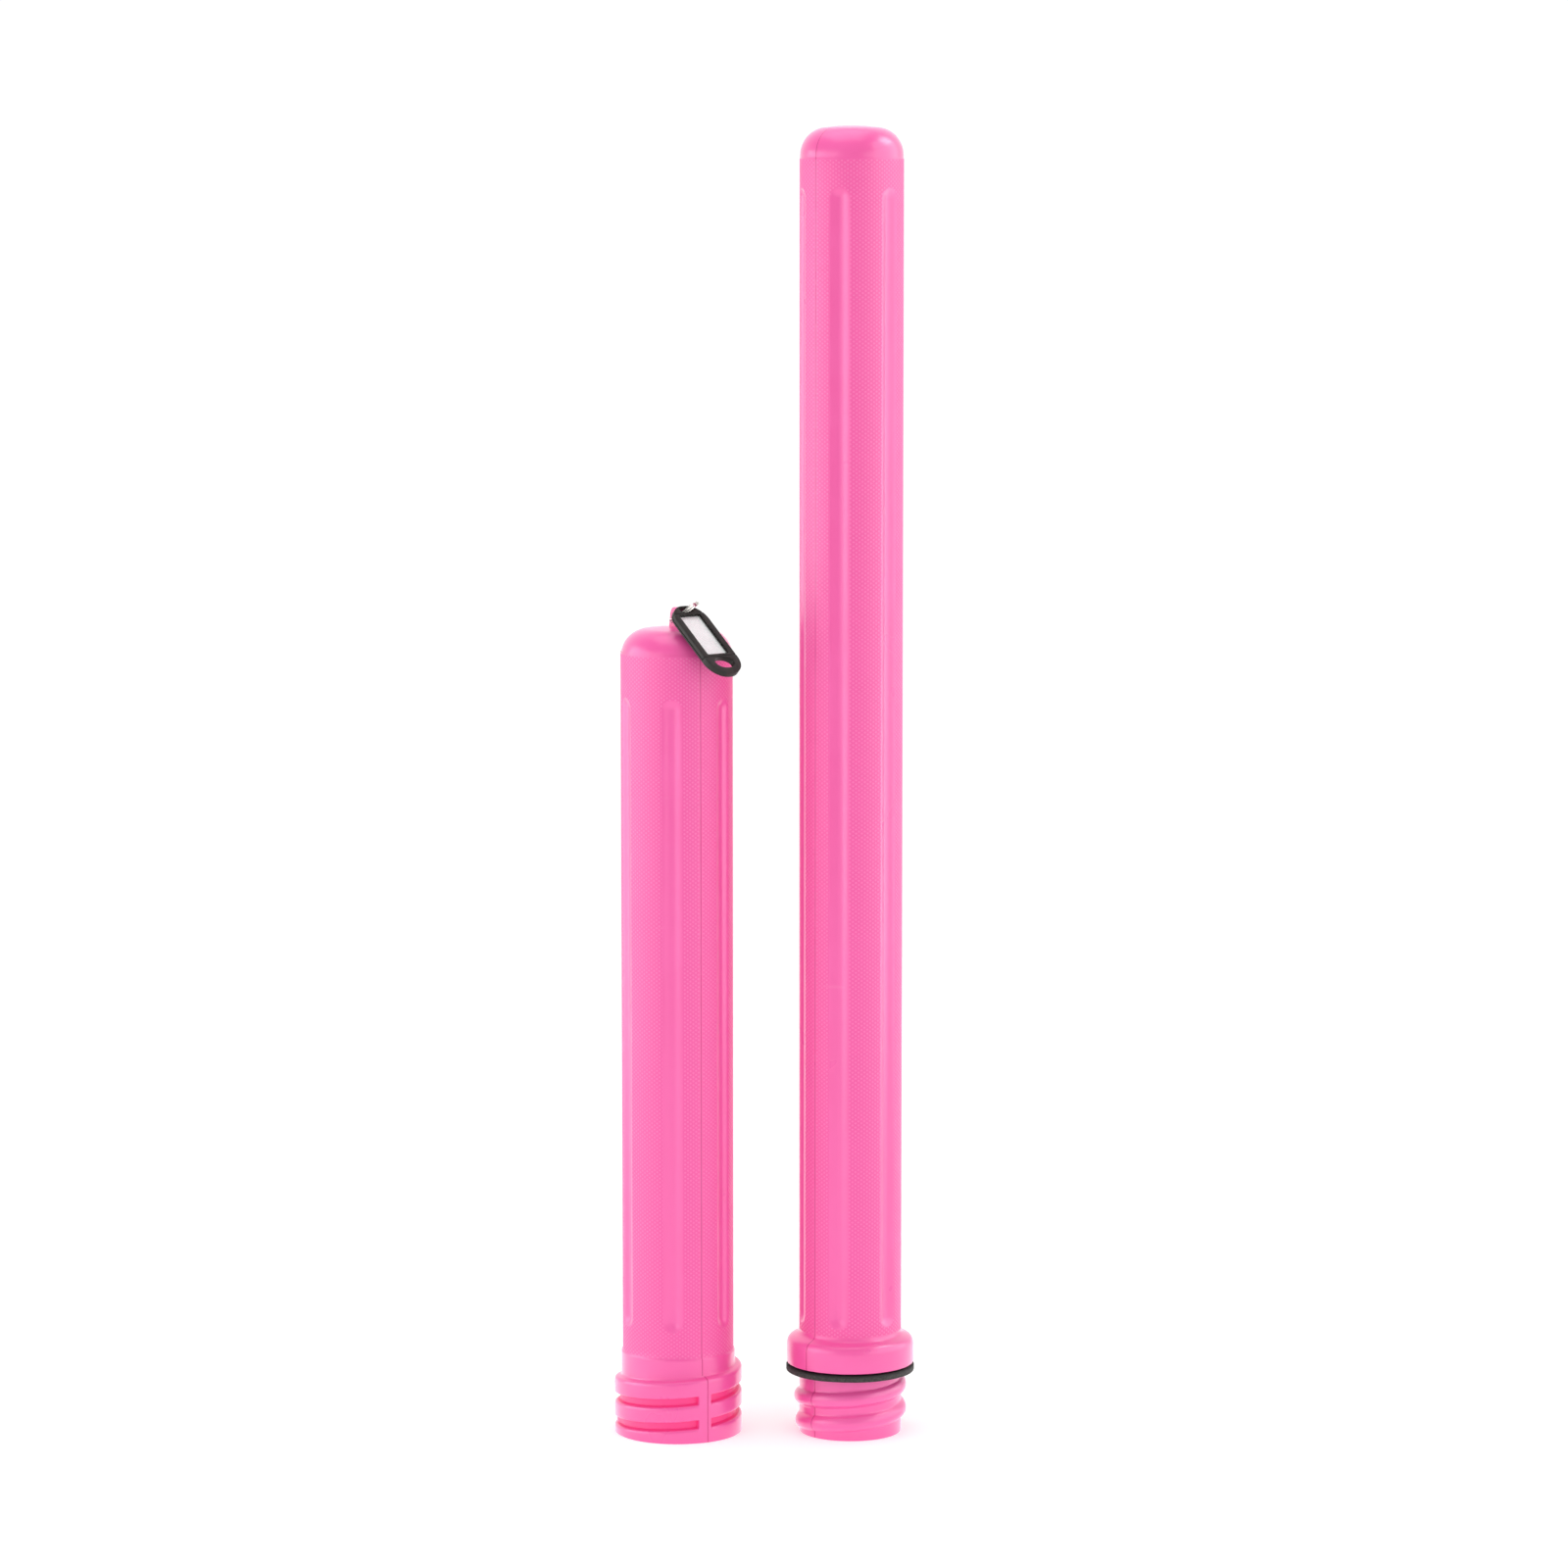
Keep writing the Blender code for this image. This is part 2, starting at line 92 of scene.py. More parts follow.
def pickEdges(obj, test):
    # selects the edges whose two ends pass the test, and goes into edit mode
    onlySelect(obj)
    bpy.ops.object.mode_set(mode="EDIT")
    bpy.ops.mesh.select_mode(type="EDGE")
    bpy.ops.mesh.select_all(action="DESELECT")
    bpy.ops.object.mode_set(mode="OBJECT")
    points = obj.data.vertices
    for edge in obj.data.edges:
        ends = [points[index].co for index in edge.vertices]
        edge.select = test(*ends)
    bpy.ops.object.mode_set(mode="EDIT")


def finishMesh(obj, angle=32.0):
    onlySelect(obj)
    bpy.ops.object.mode_set(mode="EDIT")
    bpy.ops.mesh.select_all(action="SELECT")
    bpy.ops.mesh.remove_doubles(threshold=0.002 * mm)
    bpy.ops.mesh.normals_make_consistent(inside=False)
    bpy.ops.object.mode_set(mode="OBJECT")
    bpy.ops.object.shade_smooth_by_angle(angle=math.radians(angle))


def standFor(piece, body, node):
    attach(piece, body)
    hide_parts(node)


def smoothStep(low, high, value):
    t = min(1.0, max(0.0, (value - low) / (high - low)))
    return t * t * (3.0 - 2.0 * t)


def wrapAngle(angle):
    return (angle + math.pi) % turn - math.pi


# the two moulded halves

thread = {
    "pitch": 12.8, "base": 6.4, "wall": 1.9,
    "fadeFrom": -197.0, "fadeTo": -165.0,
    "landHalf": 5.8, "columnStep": 1.5, "closestFixed": 0.11, "closestEven": 0.44,
    "seamColumns": (0.0, 0.25, 0.5, 0.8, 1.15, 1.6),
    "slotEndColumns": (-0.6, 0.0, 0.3, 0.6, 0.95, 1.4),
    "fluteCount": 6, "fluteHalf": 5.7, "fluteDepth": 1.9, "fluteEdge": (0.12, 1.05),
    "fluteRows": (-0.05, 0.05, 0.15, 0.27, 0.4, 0.55, 0.75, 1.0),
    "fluteLowest": 50.0, "fluteInnermost": 20.0,
    "domeCorner": 14.5, "domeCrown": 0.8, "grainStep": 0.2,
    "rowGap": 14.0, "insideRowGap": 40.0, "lowestRow": 0.75, "lowestStep": 0.13,
}

# parting line: a groove with a low bead beside it, and a raised strip along the neck
seamValues = {
    "depth": 0.12, "half": 0.17, "bead": 0.07, "beadPlace": 0.5, "beadHalf": 0.26,
    "fadeRadius": 10.0, "stripHeight": 0.28, "stripFrom": (-3.4, -2.8), "stripTo": (-0.35, 0.0),
}

shortTube = {
    "axis": (eyePlace.x, eyePlace.y), "height": 432.0, "radius": 29.6,
    "bandRadius": 30.35, "bandTop": 44.6, "mouthRadius": 34.0, "mouthHeight": 30.7,
    "slotHalf": 2.3, "slotDepth": 2.9, "flutes": (59.0, 396.0), "seam": -64.0,
    "mouthSeamShift": 2.6, "grain": (45.2, 418.5), "sharpEnds": True, "lapFade": 1.0,
}

longTube = {
    "axis": (longAxis.x, longAxis.y), "height": 694.0, "radius": 27.25,
    "ridgeHalf": 4.3, "ridgeHeight": 2.85, "collarRadius": 33.9, "collarBottom": 37.6,
    "flutes": (60.0, 662.0), "seam": -134.0, "mouthSeamShift": 0.0,
    "grain": (56.0, 677.0), "sharpEnds": False, "lapFade": 7.0,
}


def row(radius, height, climbs=False, depth=0.0, lap=1, line=1.0, root=0.0, shift=0.0):
    return {"radius": radius, "height": height, "climbs": climbs, "depth": depth,
            "lap": lap, "line": line, "root": root, "shift": shift}


def columnAngles(tube):
    # even columns, with closer ones on the parting lines and at the ends of the slots
    step = thread["columnStep"]
    angles = [-180.0 + step * k for k in range(round(360 / step))]
    fixed = []
    for middle in (tube["seam"], tube["seam"] + 180.0):
        shifted = middle + tube["mouthSeamShift"]
        for offset in thread["seamColumns"]:
            fixed += [middle + offset, middle - offset, shifted + offset, shifted - offset]
        if tube["sharpEnds"]:
            for offset in thread["slotEndColumns"]:
                fixed += [middle + thread["landHalf"] + offset,
                          middle - thread["landHalf"] - offset]
    kept = []
    for angle in fixed + angles:
        angle = (angle + 180.0) % 360.0
        gaps = [abs((angle - other + 180.0) % 360.0 - 180.0) for other in kept]
        closest = thread["closestFixed"] if len(kept) < len(fixed) else thread["closestEven"]
        if not gaps or min(gaps) > closest:
            kept.append(angle)
    return [math.radians(a - 180.0) for a in sorted(kept)]


def threadPlace(tube, angle):
    # angle unrolled from the rear parting line, and the height gained since the -X side
    rear = math.radians(tube["seam"]) - math.pi
    unrolled = rear + (angle - rear) % turn
    land = math.radians(thread["landHalf"])

    def climb(a):
        return thread["pitch"] * (a + math.pi) / turn

    past = unrolled - rear
    if past > math.pi:
        past -= turn
    if abs(past) < land:
        share = smoothStep(-land, land, past)
        lift = climb(rear + turn - land) * (1 - share) + climb(rear + land) * share
        return unrolled, past, lift
    return unrolled, past, climb(unrolled)


def lapShare(tube, unrolled, pastRear, lap):
    # 1 where a lap of the thread is full, 0 on a land and before it starts
    land = thread["landHalf"]
    edge = tube["lapFade"]
    share = smoothStep(land, land + edge, abs(math.degrees(pastRear)))
    if tube["sharpEnds"]:
        front = abs(math.degrees(wrapAngle(unrolled - math.radians(tube["seam"]))))
        share *= smoothStep(land, land + edge, front)
    if lap == 0:
        share *= smoothStep(thread["fadeFrom"], thread["fadeTo"], math.degrees(unrolled))
    return share


def flutePress(tube, angle, height):
    low, high = tube["flutes"]
    half = thread["fluteHalf"]
    sector = turn / thread["fluteCount"]
    past = (angle - math.radians(tube["seam"])) % sector - sector / 2
    across = tube["radius"] * past
    along = max(low + half - height, height - high + half, 0.0)
    reach = math.hypot(across, along) / half
    return thread["fluteDepth"] * (1.0 - smoothStep(*thread["fluteEdge"], reach))


def seamLine(tube, angle, radius, shift):
    total = 0.0
    for middle in (tube["seam"], tube["seam"] + 180.0):
        off = wrapAngle(angle - math.radians(middle + shift)) * radius
        beadOff = off - seamValues["beadPlace"]
        total -= seamValues["depth"] * math.exp(-(off / seamValues["half"]) ** 2)
        total += seamValues["bead"] * math.exp(-(beadOff / seamValues["beadHalf"]) ** 2)
    return total


def rootStrip(tube, angle, radius):
    # narrow raised strip beside the neck's parting line, between two laps of the thread
    off = wrapAngle(angle - math.radians(tube["seam"])) * radius
    raised = smoothStep(*seamValues["stripFrom"], off)
    return seamValues["stripHeight"] * raised * (1.0 - smoothStep(*seamValues["stripTo"], off))


def spinTube(name, tube, rows):
    # a straight pipe with one loop for each row, then every vertex goes to its real place
    angles = columnAngles(tube)
    count = len(angles)
    pipeStep = 0.01
    bpy.ops.mesh.primitive_plane_add(size=0.1)
    obj = bpy.context.active_object
    obj.name = name
    bpy.ops.object.mode_set(mode="EDIT")
    bpy.ops.mesh.select_all(action="SELECT")
    bpy.ops.mesh.merge(type="CENTER")
    bpy.ops.transform.translate(value=(1.0, 0.0, 0.0))
    for _ in rows[1:]:
        bpy.ops.mesh.extrude_region_move(TRANSFORM_OT_translate={"value": (0.0, 0.0, pipeStep)})
    bpy.ops.mesh.select_all(action="SELECT")
    bpy.ops.mesh.spin(steps=count, dupli=False, angle=turn, center=(0, 0, 0), axis=(0, 0, 1))
    bpy.ops.mesh.select_all(action="SELECT")
    bpy.ops.mesh.remove_doubles(threshold=0.0001)
    bpy.ops.object.mode_set(mode="OBJECT")

    places = {}
    for column, angle in enumerate(angles):
        unrolled, pastRear, lift = threadPlace(tube, angle)
        shares = [lapShare(tube, unrolled, pastRear, lap) for lap in (0, 1)]
        lines = {}
        for index, loop in enumerate(rows):
            radius, height = loop["radius"], loop["height"]
            if loop["climbs"]:
                height += lift
            if loop["depth"]:
                radius += loop["depth"] * shares[loop["lap"]]
            if height > thread["fluteLowest"] and radius > thread["fluteInnermost"]:
                radius -= flutePress(tube, angle, height)
            if loop["root"]:
                radius += loop["root"] * rootStrip(tube, angle, radius)
            if loop["line"]:
                shift = loop["shift"]
                if shift not in lines:
                    lines[shift] = seamLine(tube, angle, tube["radius"], shift)
                towardsPole = min(1.0, radius / seamValues["fadeRadius"])
                radius += loop["line"] * lines[shift] * towardsPole
            height = max(height, loop.get("least", height))
            places[index, column] = (radius, angle, height)
    for vertex in obj.data.vertices:
        column = round(math.atan2(vertex.co.y, vertex.co.x) / turn * count) % count
        index = round(vertex.co.z / pipeStep)
        radius, angle, height = places[index, column]
        vertex.co = (tube["axis"][0] + radius * mm * math.cos(angle),
                     tube["axis"][1] + radius * mm * math.sin(angle), height * mm)
    finishMesh(obj, 50.0)
    print(name, len(angles), "columns", len(rows), "rows", len(obj.data.polygons), "faces")
    return obj


def bodyHeights(low, high, gap):
    # rows down the straight body: close together at the flutes' round ends
    half = thread["fluteHalf"]
    near = [half * share for share in thread["fluteRows"]]
    heights = [low + n for n in near]
    count = round((high - low - 2 * half) / gap)
    for k in range(1, count):
        heights.append(low + half + (high - low - 2 * half) * k / count)
    return heights + [high - n for n in reversed(near)]


def domeRows(tube, inside, steps):
    # quarter round and a slightly crowned top, from the body up to the pole
    wall = thread["wall"] if inside else 0.0
    corner = thread["domeCorner"]
    crown = thread["domeCrown"]
    radius = tube["radius"] - thread["grainStep"]
    rows = []
    for k in range(steps + 1):
        angle = 0.5 * math.pi * k / steps
        rows.append(row(radius - corner + (corner - wall) * math.cos(angle),
                        tube["height"] - crown - corner + (corner - wall) * math.sin(angle),
                        line=0.0 if inside else 1.0))
    flat = radius - corner
    for share in (0.75, 0.5, 0.25, 0.0):
        rows.append(row(flat * share, tube["height"] - wall - crown * share ** 2,
                        line=0.0 if inside or share == 0 else 0.6))
    return rows


def bodyRows(tube, first, inside):
    radius = tube["radius"] - (thread["wall"] if inside else 0.0)
    line = 0.0 if inside else 1.0
    low, high = tube["flutes"]
    gap = thread["insideRowGap"] if inside else thread["rowGap"]
    rows = [row(radius, h, line=line) for h in first]
    rows += [row(radius, h, line=line) for h in bodyHeights(low, high, gap)]
    top = tube["grain"][1]
    if not inside:
        # the grained skin stands a little proud of the smooth dome
        middle = (high + top) / 2
        rows += [row(radius, h) for h in (middle, top - 0.4)]
        rows.append(row(radius - thread["grainStep"] * 0.5, top + 0.1))
        rows.append(row(radius - thread["grainStep"], top + 0.6))
    return rows + domeRows(tube, inside, 7 if inside else 14)


def lapRows(section, radius, shift, line=1.0):
    # the same section twice, one pitch apart, and no row below the rim
    rows = []
    for lap in (0, 1):
        for offset, depth in section:
            centre = thread["base"] + lap * thread["pitch"]
            loop = row(radius, centre + offset, True, depth, lap, line, 0.0, shift)
            if depth == 0.0:
                loop["root"] = line
            rows.append(loop)
    for index, loop in enumerate(rows):
        loop["least"] = thread["lowestRow"] + thread["lowestStep"] * index
    return rows


def insideRim(radius):
    return [row(radius, 0.5, line=0.0), row(radius + 0.2, 0.12, line=0.0),
            row(radius + 0.5, 0.0, line=0.0)]


def makeShortHalf():
    tube = shortTube
    wall = thread["wall"]
    half = tube["slotHalf"]
    depth = -tube["slotDepth"]
    shift = tube["mouthSeamShift"]
    mouth = tube["mouthRadius"]
    band = tube["bandRadius"]
    # inside skin, from the pole down to the rim
    inner = list(reversed(bodyRows(tube, (), True)))
    inner.append(row(band - wall, tube["bandTop"], line=0.0))
    for radius, drop in ((band - wall, -0.6), (mouth - wall - 1.0, -2.6), (mouth - wall, -3.6)):
        inner.append(row(radius, tube["mouthHeight"] + drop, True, line=0.0))
    hollow = [(-half - 1.1, 0.0), (-half + 0.5, depth), (half - 0.5, depth), (half + 1.1, 0.0)]
    inner += list(reversed(lapRows(hollow, mouth - wall, 0.0, 0.0)))
    rim = insideRim(mouth - wall)
    for off, height in ((0.7, 0.0), (0.28, 0.1), (0.06, 0.35), (0.0, 0.65)):
        rim.append(row(mouth - off, height, shift=shift))
    # thread slot: a rounded lower lip, a flat bottom and a sharper upper edge
    slot = [(-half - 1.9, 0.0), (-half - 1.2, -0.05), (-half - 0.75, -0.22), (-half - 0.4, -0.5),
            (-half - 0.12, -0.92), (-half + 0.04, -1.45), (-half + 0.2, depth + 0.6),
            (-half + 0.6, depth), (0.0, depth), (half - 0.5, depth), (half - 0.25, depth + 0.3),
            (half - 0.05, -0.5), (half + 0.1, -0.2), (half + 0.35, 0.0), (half + 1.2, 0.0)]
    outer = lapRows(slot, mouth, shift)
    for loop in outer:
        loop["root"] = 0.0
    # climbing shoulder above the slots, then the band and its rounded top
    top = tube["mouthHeight"]
    for radius, up in ((mouth, -2.7), (mouth - 0.12, -1.85), (mouth - 0.5, -1.15),
                       (mouth - 1.1, -0.7), (mouth - 1.9, -0.42), (mouth - 2.7, -0.25),
                       (band + 0.5, -0.1), (band + 0.15, 0.25)):
        outer.append(row(radius, top + up, True, shift=shift))
    outer.append(row(band, top + 0.9, True))
    for radius, height in ((band, -1.2), (band - 0.03, -0.5), (band - 0.2, -0.05),
                           (band - 0.5, 0.3), (tube["radius"], 0.65)):
        outer.append(row(radius, tube["bandTop"] + height))
    outer += bodyRows(tube, (48.0, 54.0), False)
    return spinTube("shortHalf", tube, inner + rim + outer)


lugValues = {"width": 10.4, "thick": 2.6, "eye": 2.8, "foot": 1.0, "footFlare": 1.25,
             "sunk": 1.6, "edge": 0.7}


def makeLug(shell):
    # flat tab with a round head and an eye, standing in the parting plane
    half = lugValues["width"] / 2 * mm
    thick = lugValues["thick"] / 2 * mm
    foot = (shortTube["height"] - lugValues["sunk"]) * mm - eyePlace.z
    bpy.ops.mesh.primitive_cylinder_add(vertices=64, radius=half, depth=2 * thick,
                                        rotation=(math.pi / 2, 0, 0))
    head = bpy.context.active_object
    bpy.ops.object.transform_apply(location=False, rotation=True, scale=False)
    stem = addBox("lugStem", (-half, -thick, foot), (half, thick, 0.0))
    for vertex in stem.data.vertices:
        if vertex.co.z < foot / 2:
            vertex.co.x *= 1.0 + lugValues["foot"] * mm / half
            vertex.co.y *= lugValues["footFlare"]
    cutWith(head, stem, "UNION")
    bpy.ops.mesh.primitive_cylinder_add(vertices=48, radius=lugValues["eye"] * mm, depth=8 * thick,
                                        rotation=(math.pi / 2, 0, 0))
    cutWith(head, bpy.context.active_object)
    applyModifier(head, "BEVEL", width=lugValues["edge"] * mm, segments=4, limit_method="ANGLE",
                  angle_limit=math.radians(50))
    spot = Matrix.Translation(eyePlace) @ Matrix.Rotation(math.radians(shortTube["seam"]), 4, "Z")
    head.data.transform(spot)
    finishMesh(head, 40.0)
    onlySelect(shell)
    head.select_set(True)
    bpy.context.view_layer.objects.active = shell
    bpy.ops.object.join()
    return shell


def makeLongHalf():
    tube = longTube
    wall = thread["wall"]
    root = tube["radius"]
    half = tube["ridgeHalf"]
    tall = tube["ridgeHeight"]
    # inside skin, from the pole down past the collar's hollow to the rim
    inner = list(reversed(bodyRows(tube, (), True)))
    for swell, height in ((0.0, 52.0), (3.0, 48.5), (3.0, 41.5), (0.0, 38.5)):
        inner.append(row(root - wall + swell, height, line=0.0))
    hollow = [(-half, 0.0), (-0.45 * half, tall), (0.45 * half, tall), (half, 0.0)]
    inner += list(reversed(lapRows(hollow, root - wall, 0.0, 0.0)))
    rim = insideRim(root - wall)
    for off, height in ((0.6, 0.0), (0.25, 0.1), (0.05, 0.32), (0.0, 0.6)):
        rim.append(row(root - off, height))
    # thread ridge: a rounded crest, steeper towards its foot
    ridge = []
    for t in (-1.25, -1.04, -0.97, -0.88, -0.76, -0.6, -0.4, -0.18, 0.0,
              0.18, 0.4, 0.6, 0.76, 0.88, 0.97, 1.04, 1.25):
        share = max(0.0, 1.0 - abs(t) ** 2.3) ** 0.9 if abs(t) < 0.99 else 0.0
        ridge.append((t * half, tall * share))
    outer = lapRows(ridge, root, 0.0)
    for loop in outer:
        if loop["depth"]:
            loop["line"] = 0.25
    # hollow collar: flat underneath, rounded on top
    low = tube["collarBottom"]
    wide = tube["collarRadius"]
    outer.append(row(root, low - 1.0))
    for off, up in ((wide - root, 0.0), (wide - root - 2.0, 0.0), (0.9, 0.0), (0.4, 0.1),
                    (0.1, 0.4), (0.0, 0.9), (0.0, 5.0), (0.0, 9.6), (0.1, 10.9), (0.35, 12.0),
                    (0.8, 13.0), (1.5, 13.85), (2.6, 14.6), (3.8, 15.2), (4.9, 15.7),
                    (5.7, 16.2), (6.2, 16.8), (6.5, 17.6)):
        outer.append(row(wide - off, low + up, line=0.55))
    outer.append(row(root, low + 18.8))
    outer += bodyRows(tube, (), False)
    return spinTube("longHalf", tube, inner + rim + outer)


shortHalf = makeLug(makeShortHalf())
longHalf = makeLongHalf()
standFor(shortHalf, "short_tube", "short_half")
standFor(longHalf, "long_tube", "long_half")
print("halves made")


# foam washer

washerValues = {"edge": 0.5, "steps": 240, "wave": 0.12, "inner": 28.1, "outer": 34.2,
                "under": 0.1, "over": 0.05}


def makeWasher():
    low = washerLow.z / mm + washerValues["under"]
    high = washerHigh.z / mm - washerValues["over"]
    inner = washerValues["inner"]
    outer = washerValues["outer"]
    edge = washerValues["edge"]
    bpy.ops.mesh.primitive_plane_add(size=1.0)
    box = bpy.context.active_object
    box.name = "foamWasher"
    middle = Vector(((inner + outer) / 2, 0.0, (low + high) / 2)) * mm
    size = Matrix.Diagonal(((outer - inner) * mm, (high - low) * mm, 1.0, 1.0))
    box.data.transform(Matrix.Translation(middle) @ Matrix.Rotation(math.pi / 2, 4, "X") @ size)
    bpy.ops.object.mode_set(mode="EDIT")
    bpy.ops.mesh.select_all(action="SELECT")
    bpy.ops.mesh.bevel(offset=edge * mm, segments=3, affect="VERTICES")
    bpy.ops.mesh.select_all(action="SELECT")
    bpy.ops.mesh.delete(type="ONLY_FACE")
    bpy.ops.mesh.select_all(action="SELECT")
    bpy.ops.mesh.subdivide(number_cuts=1)
    bpy.ops.mesh.select_all(action="SELECT")
    bpy.ops.mesh.spin(steps=washerValues["steps"], angle=turn, center=(0, 0, 0), axis=(0, 0, 1))
    bpy.ops.object.mode_set(mode="OBJECT")
    # soft foam doesn't lie quite flat
    for vertex in box.data.vertices:
        angle = math.atan2(vertex.co.y, vertex.co.x)
        wave = math.sin(3 * angle + 0.4) * 0.6 + math.sin(7 * angle + 1.1) * 0.3
        vertex.co.z += washerValues["wave"] * mm * wave
        vertex.co += Vector((longAxis.x, longAxis.y, 0.0))
    finishMesh(box, 60.0)
    return box


washer = makeWasher()
standFor(washer, "washer", "sealing_washer")
print("washer made", len(washer.data.polygons))


# split ring: a flat wire wound twice, its two ends in the groove where the laps cross over

ringValues = {
    "radius": 8.6, "deep": 1.15, "wide": 1.12, "apart": 0.61, "tilt": 35.0,
    "crossFrom": 0.93, "crossTo": 1.07, "steps": 96, "corner": 0.22, "start": 200.0,
}


def makeRing():
    chord = slotPlace - eyePlace
    tilt = math.radians(ringValues["tilt"])
    lean = Vector((math.cos(tilt), 0.0, math.sin(tilt)))
    side = (lean - lean.project(chord)).normalized()
    radius = ringValues["radius"] * mm
    offset = math.sqrt(radius ** 2 - (chord.length / 2) ** 2)
    centre = eyePlace + chord / 2 + side * offset
    normal = chord.cross(side).normalized()

    bpy.ops.curve.primitive_bezier_circle_add(radius=1.0)
    section = bpy.context.active_object
    section.data.splines.clear()
    spline = section.data.splines.new("POLY")
    corner = ringValues["corner"]
    halfDeep = ringValues["deep"] / 2
    halfWide = ringValues["wide"] / 2
    points = []
    for signX, signY, first in ((1, 1, 0), (-1, 1, 90), (-1, -1, 180), (1, -1, 270)):
        for k in range(4):
            angle = math.radians(first + 30 * k)
            points.append(((signX * (halfDeep - corner) + corner * math.cos(angle)) * mm,
                           (signY * (halfWide - corner) + corner * math.sin(angle)) * mm))
    spline.points.add(len(points) - 1)
    for point, (x, y) in zip(spline.points, points):
        point.co = (x, y, 0.0, 1.0)
    spline.use_cyclic_u = True

    bpy.ops.curve.primitive_bezier_circle_add(radius=1.0)
    wire = bpy.context.active_object
    wire.name = "splitRing"
    wire.data.splines.clear()
    wire.data.dimensions = "3D"
    wire.data.twist_mode = "Z_UP"
    path = wire.data.splines.new("POLY")
    total = ringValues["steps"] * 2 - 3
    path.points.add(total)
    for k, point in enumerate(path.points):
        wound = (k + 1) / ringValues["steps"]
        angle = math.radians(ringValues["start"]) + turn * wound
        share = smoothStep(ringValues["crossFrom"], ringValues["crossTo"], wound)
        rise = ringValues["apart"] * (2.0 * share - 1.0) * mm
        point.co = (radius * math.cos(angle), radius * math.sin(angle), rise, 1.0)
    wire.data.bevel_mode = "OBJECT"
    wire.data.bevel_object = section
    wire.data.use_fill_caps = True
    onlySelect(wire)
    bpy.ops.object.convert(target="MESH")
    bpy.data.objects.remove(section)
    turnTo = normal.to_track_quat("Z", "Y").to_matrix().to_4x4()
    wire.data.transform(Matrix.Translation(centre) @ turnTo)
    finishMesh(wire, 40.0)
    return wire


ring = makeRing()
standFor(ring, "ring", "split_ring")
print("ring made", len(ring.data.polygons))


# address tag, in its own axes: X across, Y down its length from the ring, Z outwards

tagValues = {
    "width": 23.0, "ringEnd": -20.9, "fingerEnd": 28.6, "thick": 3.4, "floor": 1.0,
    "gap": 0.22, "ringCorner": 10.4, "fingerCorner": 10.9, "slotAt": -17.9,
    "slot": (8.6, 3.6), "holeAt": 20.6, "hole": (13.0, 8.0), "lid": (-15.4, 16.0),
    "window": (15.2, 28.8), "dip": 41.2, "heading": -45.0, "edge": 0.35,
    "slotCorner": 1.3, "windowCorner": 0.7, "lidEdge": 0.3, "underFrame": (1.0, 0.3),
    "labelFrom": 1.22, "labelThick": 0.2, "labelSpare": 0.25,
    "glassFrom": 1.5, "glassThick": 0.25, "glassSpare": 0.12, "glassRoom": 0.1,
}


def tagMatrix():
    dip = math.radians(tagValues["dip"])
    heading = math.radians(tagValues["heading"])
    down = Vector((math.cos(dip) * math.cos(heading), math.cos(dip) * math.sin(heading),
                   -math.sin(dip)))
    across = Vector((-math.sin(heading), math.cos(heading), 0.0))
    out = down.cross(across)
    axes = Matrix((across, down, out)).transposed()
    local = Vector((0.0, tagValues["slotAt"] * mm, tagValues["thick"] / 2 * mm))
    return Matrix.Translation(slotPlace - axes @ local) @ axes.to_4x4()


def tagBox(name, low, high, corner=0.0, segments=6):
    # block in the tag's axes, with its upright edges rounded
    obj = addBox(name, [v * mm for v in low], [v * mm for v in high])
    if corner:
        pickEdges(obj, lambda a, b: abs(a.z - b.z) > 0.1 * mm)
        bpy.ops.mesh.bevel(offset=corner * mm, segments=segments, affect="EDGES")
        bpy.ops.object.mode_set(mode="OBJECT")
    return obj


def tagOutline(name, low, high):
    # slab with both ends of the tag rounded
    half = tagValues["width"] / 2
    slab = tagBox(name, (-half, tagValues["ringEnd"], low), (half, tagValues["fingerEnd"], high))
    pickEdges(slab, lambda a, b: abs(a.z - b.z) > 0.1 * mm and a.y < 0)
    bpy.ops.mesh.bevel(offset=tagValues["ringCorner"] * mm, segments=14, affect="EDGES")
    pickEdges(slab, lambda a, b: abs(a.z - b.z) > 0.1 * mm and a.y > 20 * mm)
    bpy.ops.mesh.bevel(offset=tagValues["fingerCorner"] * mm, segments=20, affect="EDGES")
    bpy.ops.object.mode_set(mode="OBJECT")
    return slab


def makeTray():
    half = tagValues["width"] / 2
    thick = tagValues["thick"]
    tray = tagOutline("tagTray", 0.0, thick)
    seat = tagBox("seatTool", (-half - 1, tagValues["lid"][0] - tagValues["gap"], tagValues["floor"]),
                  (half + 1, tagValues["lid"][1] + tagValues["gap"], thick + 1))
    cutWith(tray, seat)
    wide, tall = tagValues["slot"]
    slot = tagBox("slotTool", (-wide / 2, tagValues["slotAt"] - tall / 2, -1),
                  (wide / 2, tagValues["slotAt"] + tall / 2, thick + 1), tagValues["slotCorner"])
    cutWith(tray, slot)
    bpy.ops.mesh.primitive_cylinder_add(vertices=56, radius=1.0, depth=1.0)
    hole = bpy.context.active_object
    size = (tagValues["hole"][0] / 2 * mm, tagValues["hole"][1] / 2 * mm, 12 * mm, 1.0)
    hole.data.transform(Matrix.Translation((0, tagValues["holeAt"] * mm, 0)) @ Matrix.Diagonal(size))
    cutWith(tray, hole)
    applyModifier(tray, "BEVEL", width=tagValues["edge"] * mm, segments=3, limit_method="ANGLE",
                  angle_limit=math.radians(40))
    return tray


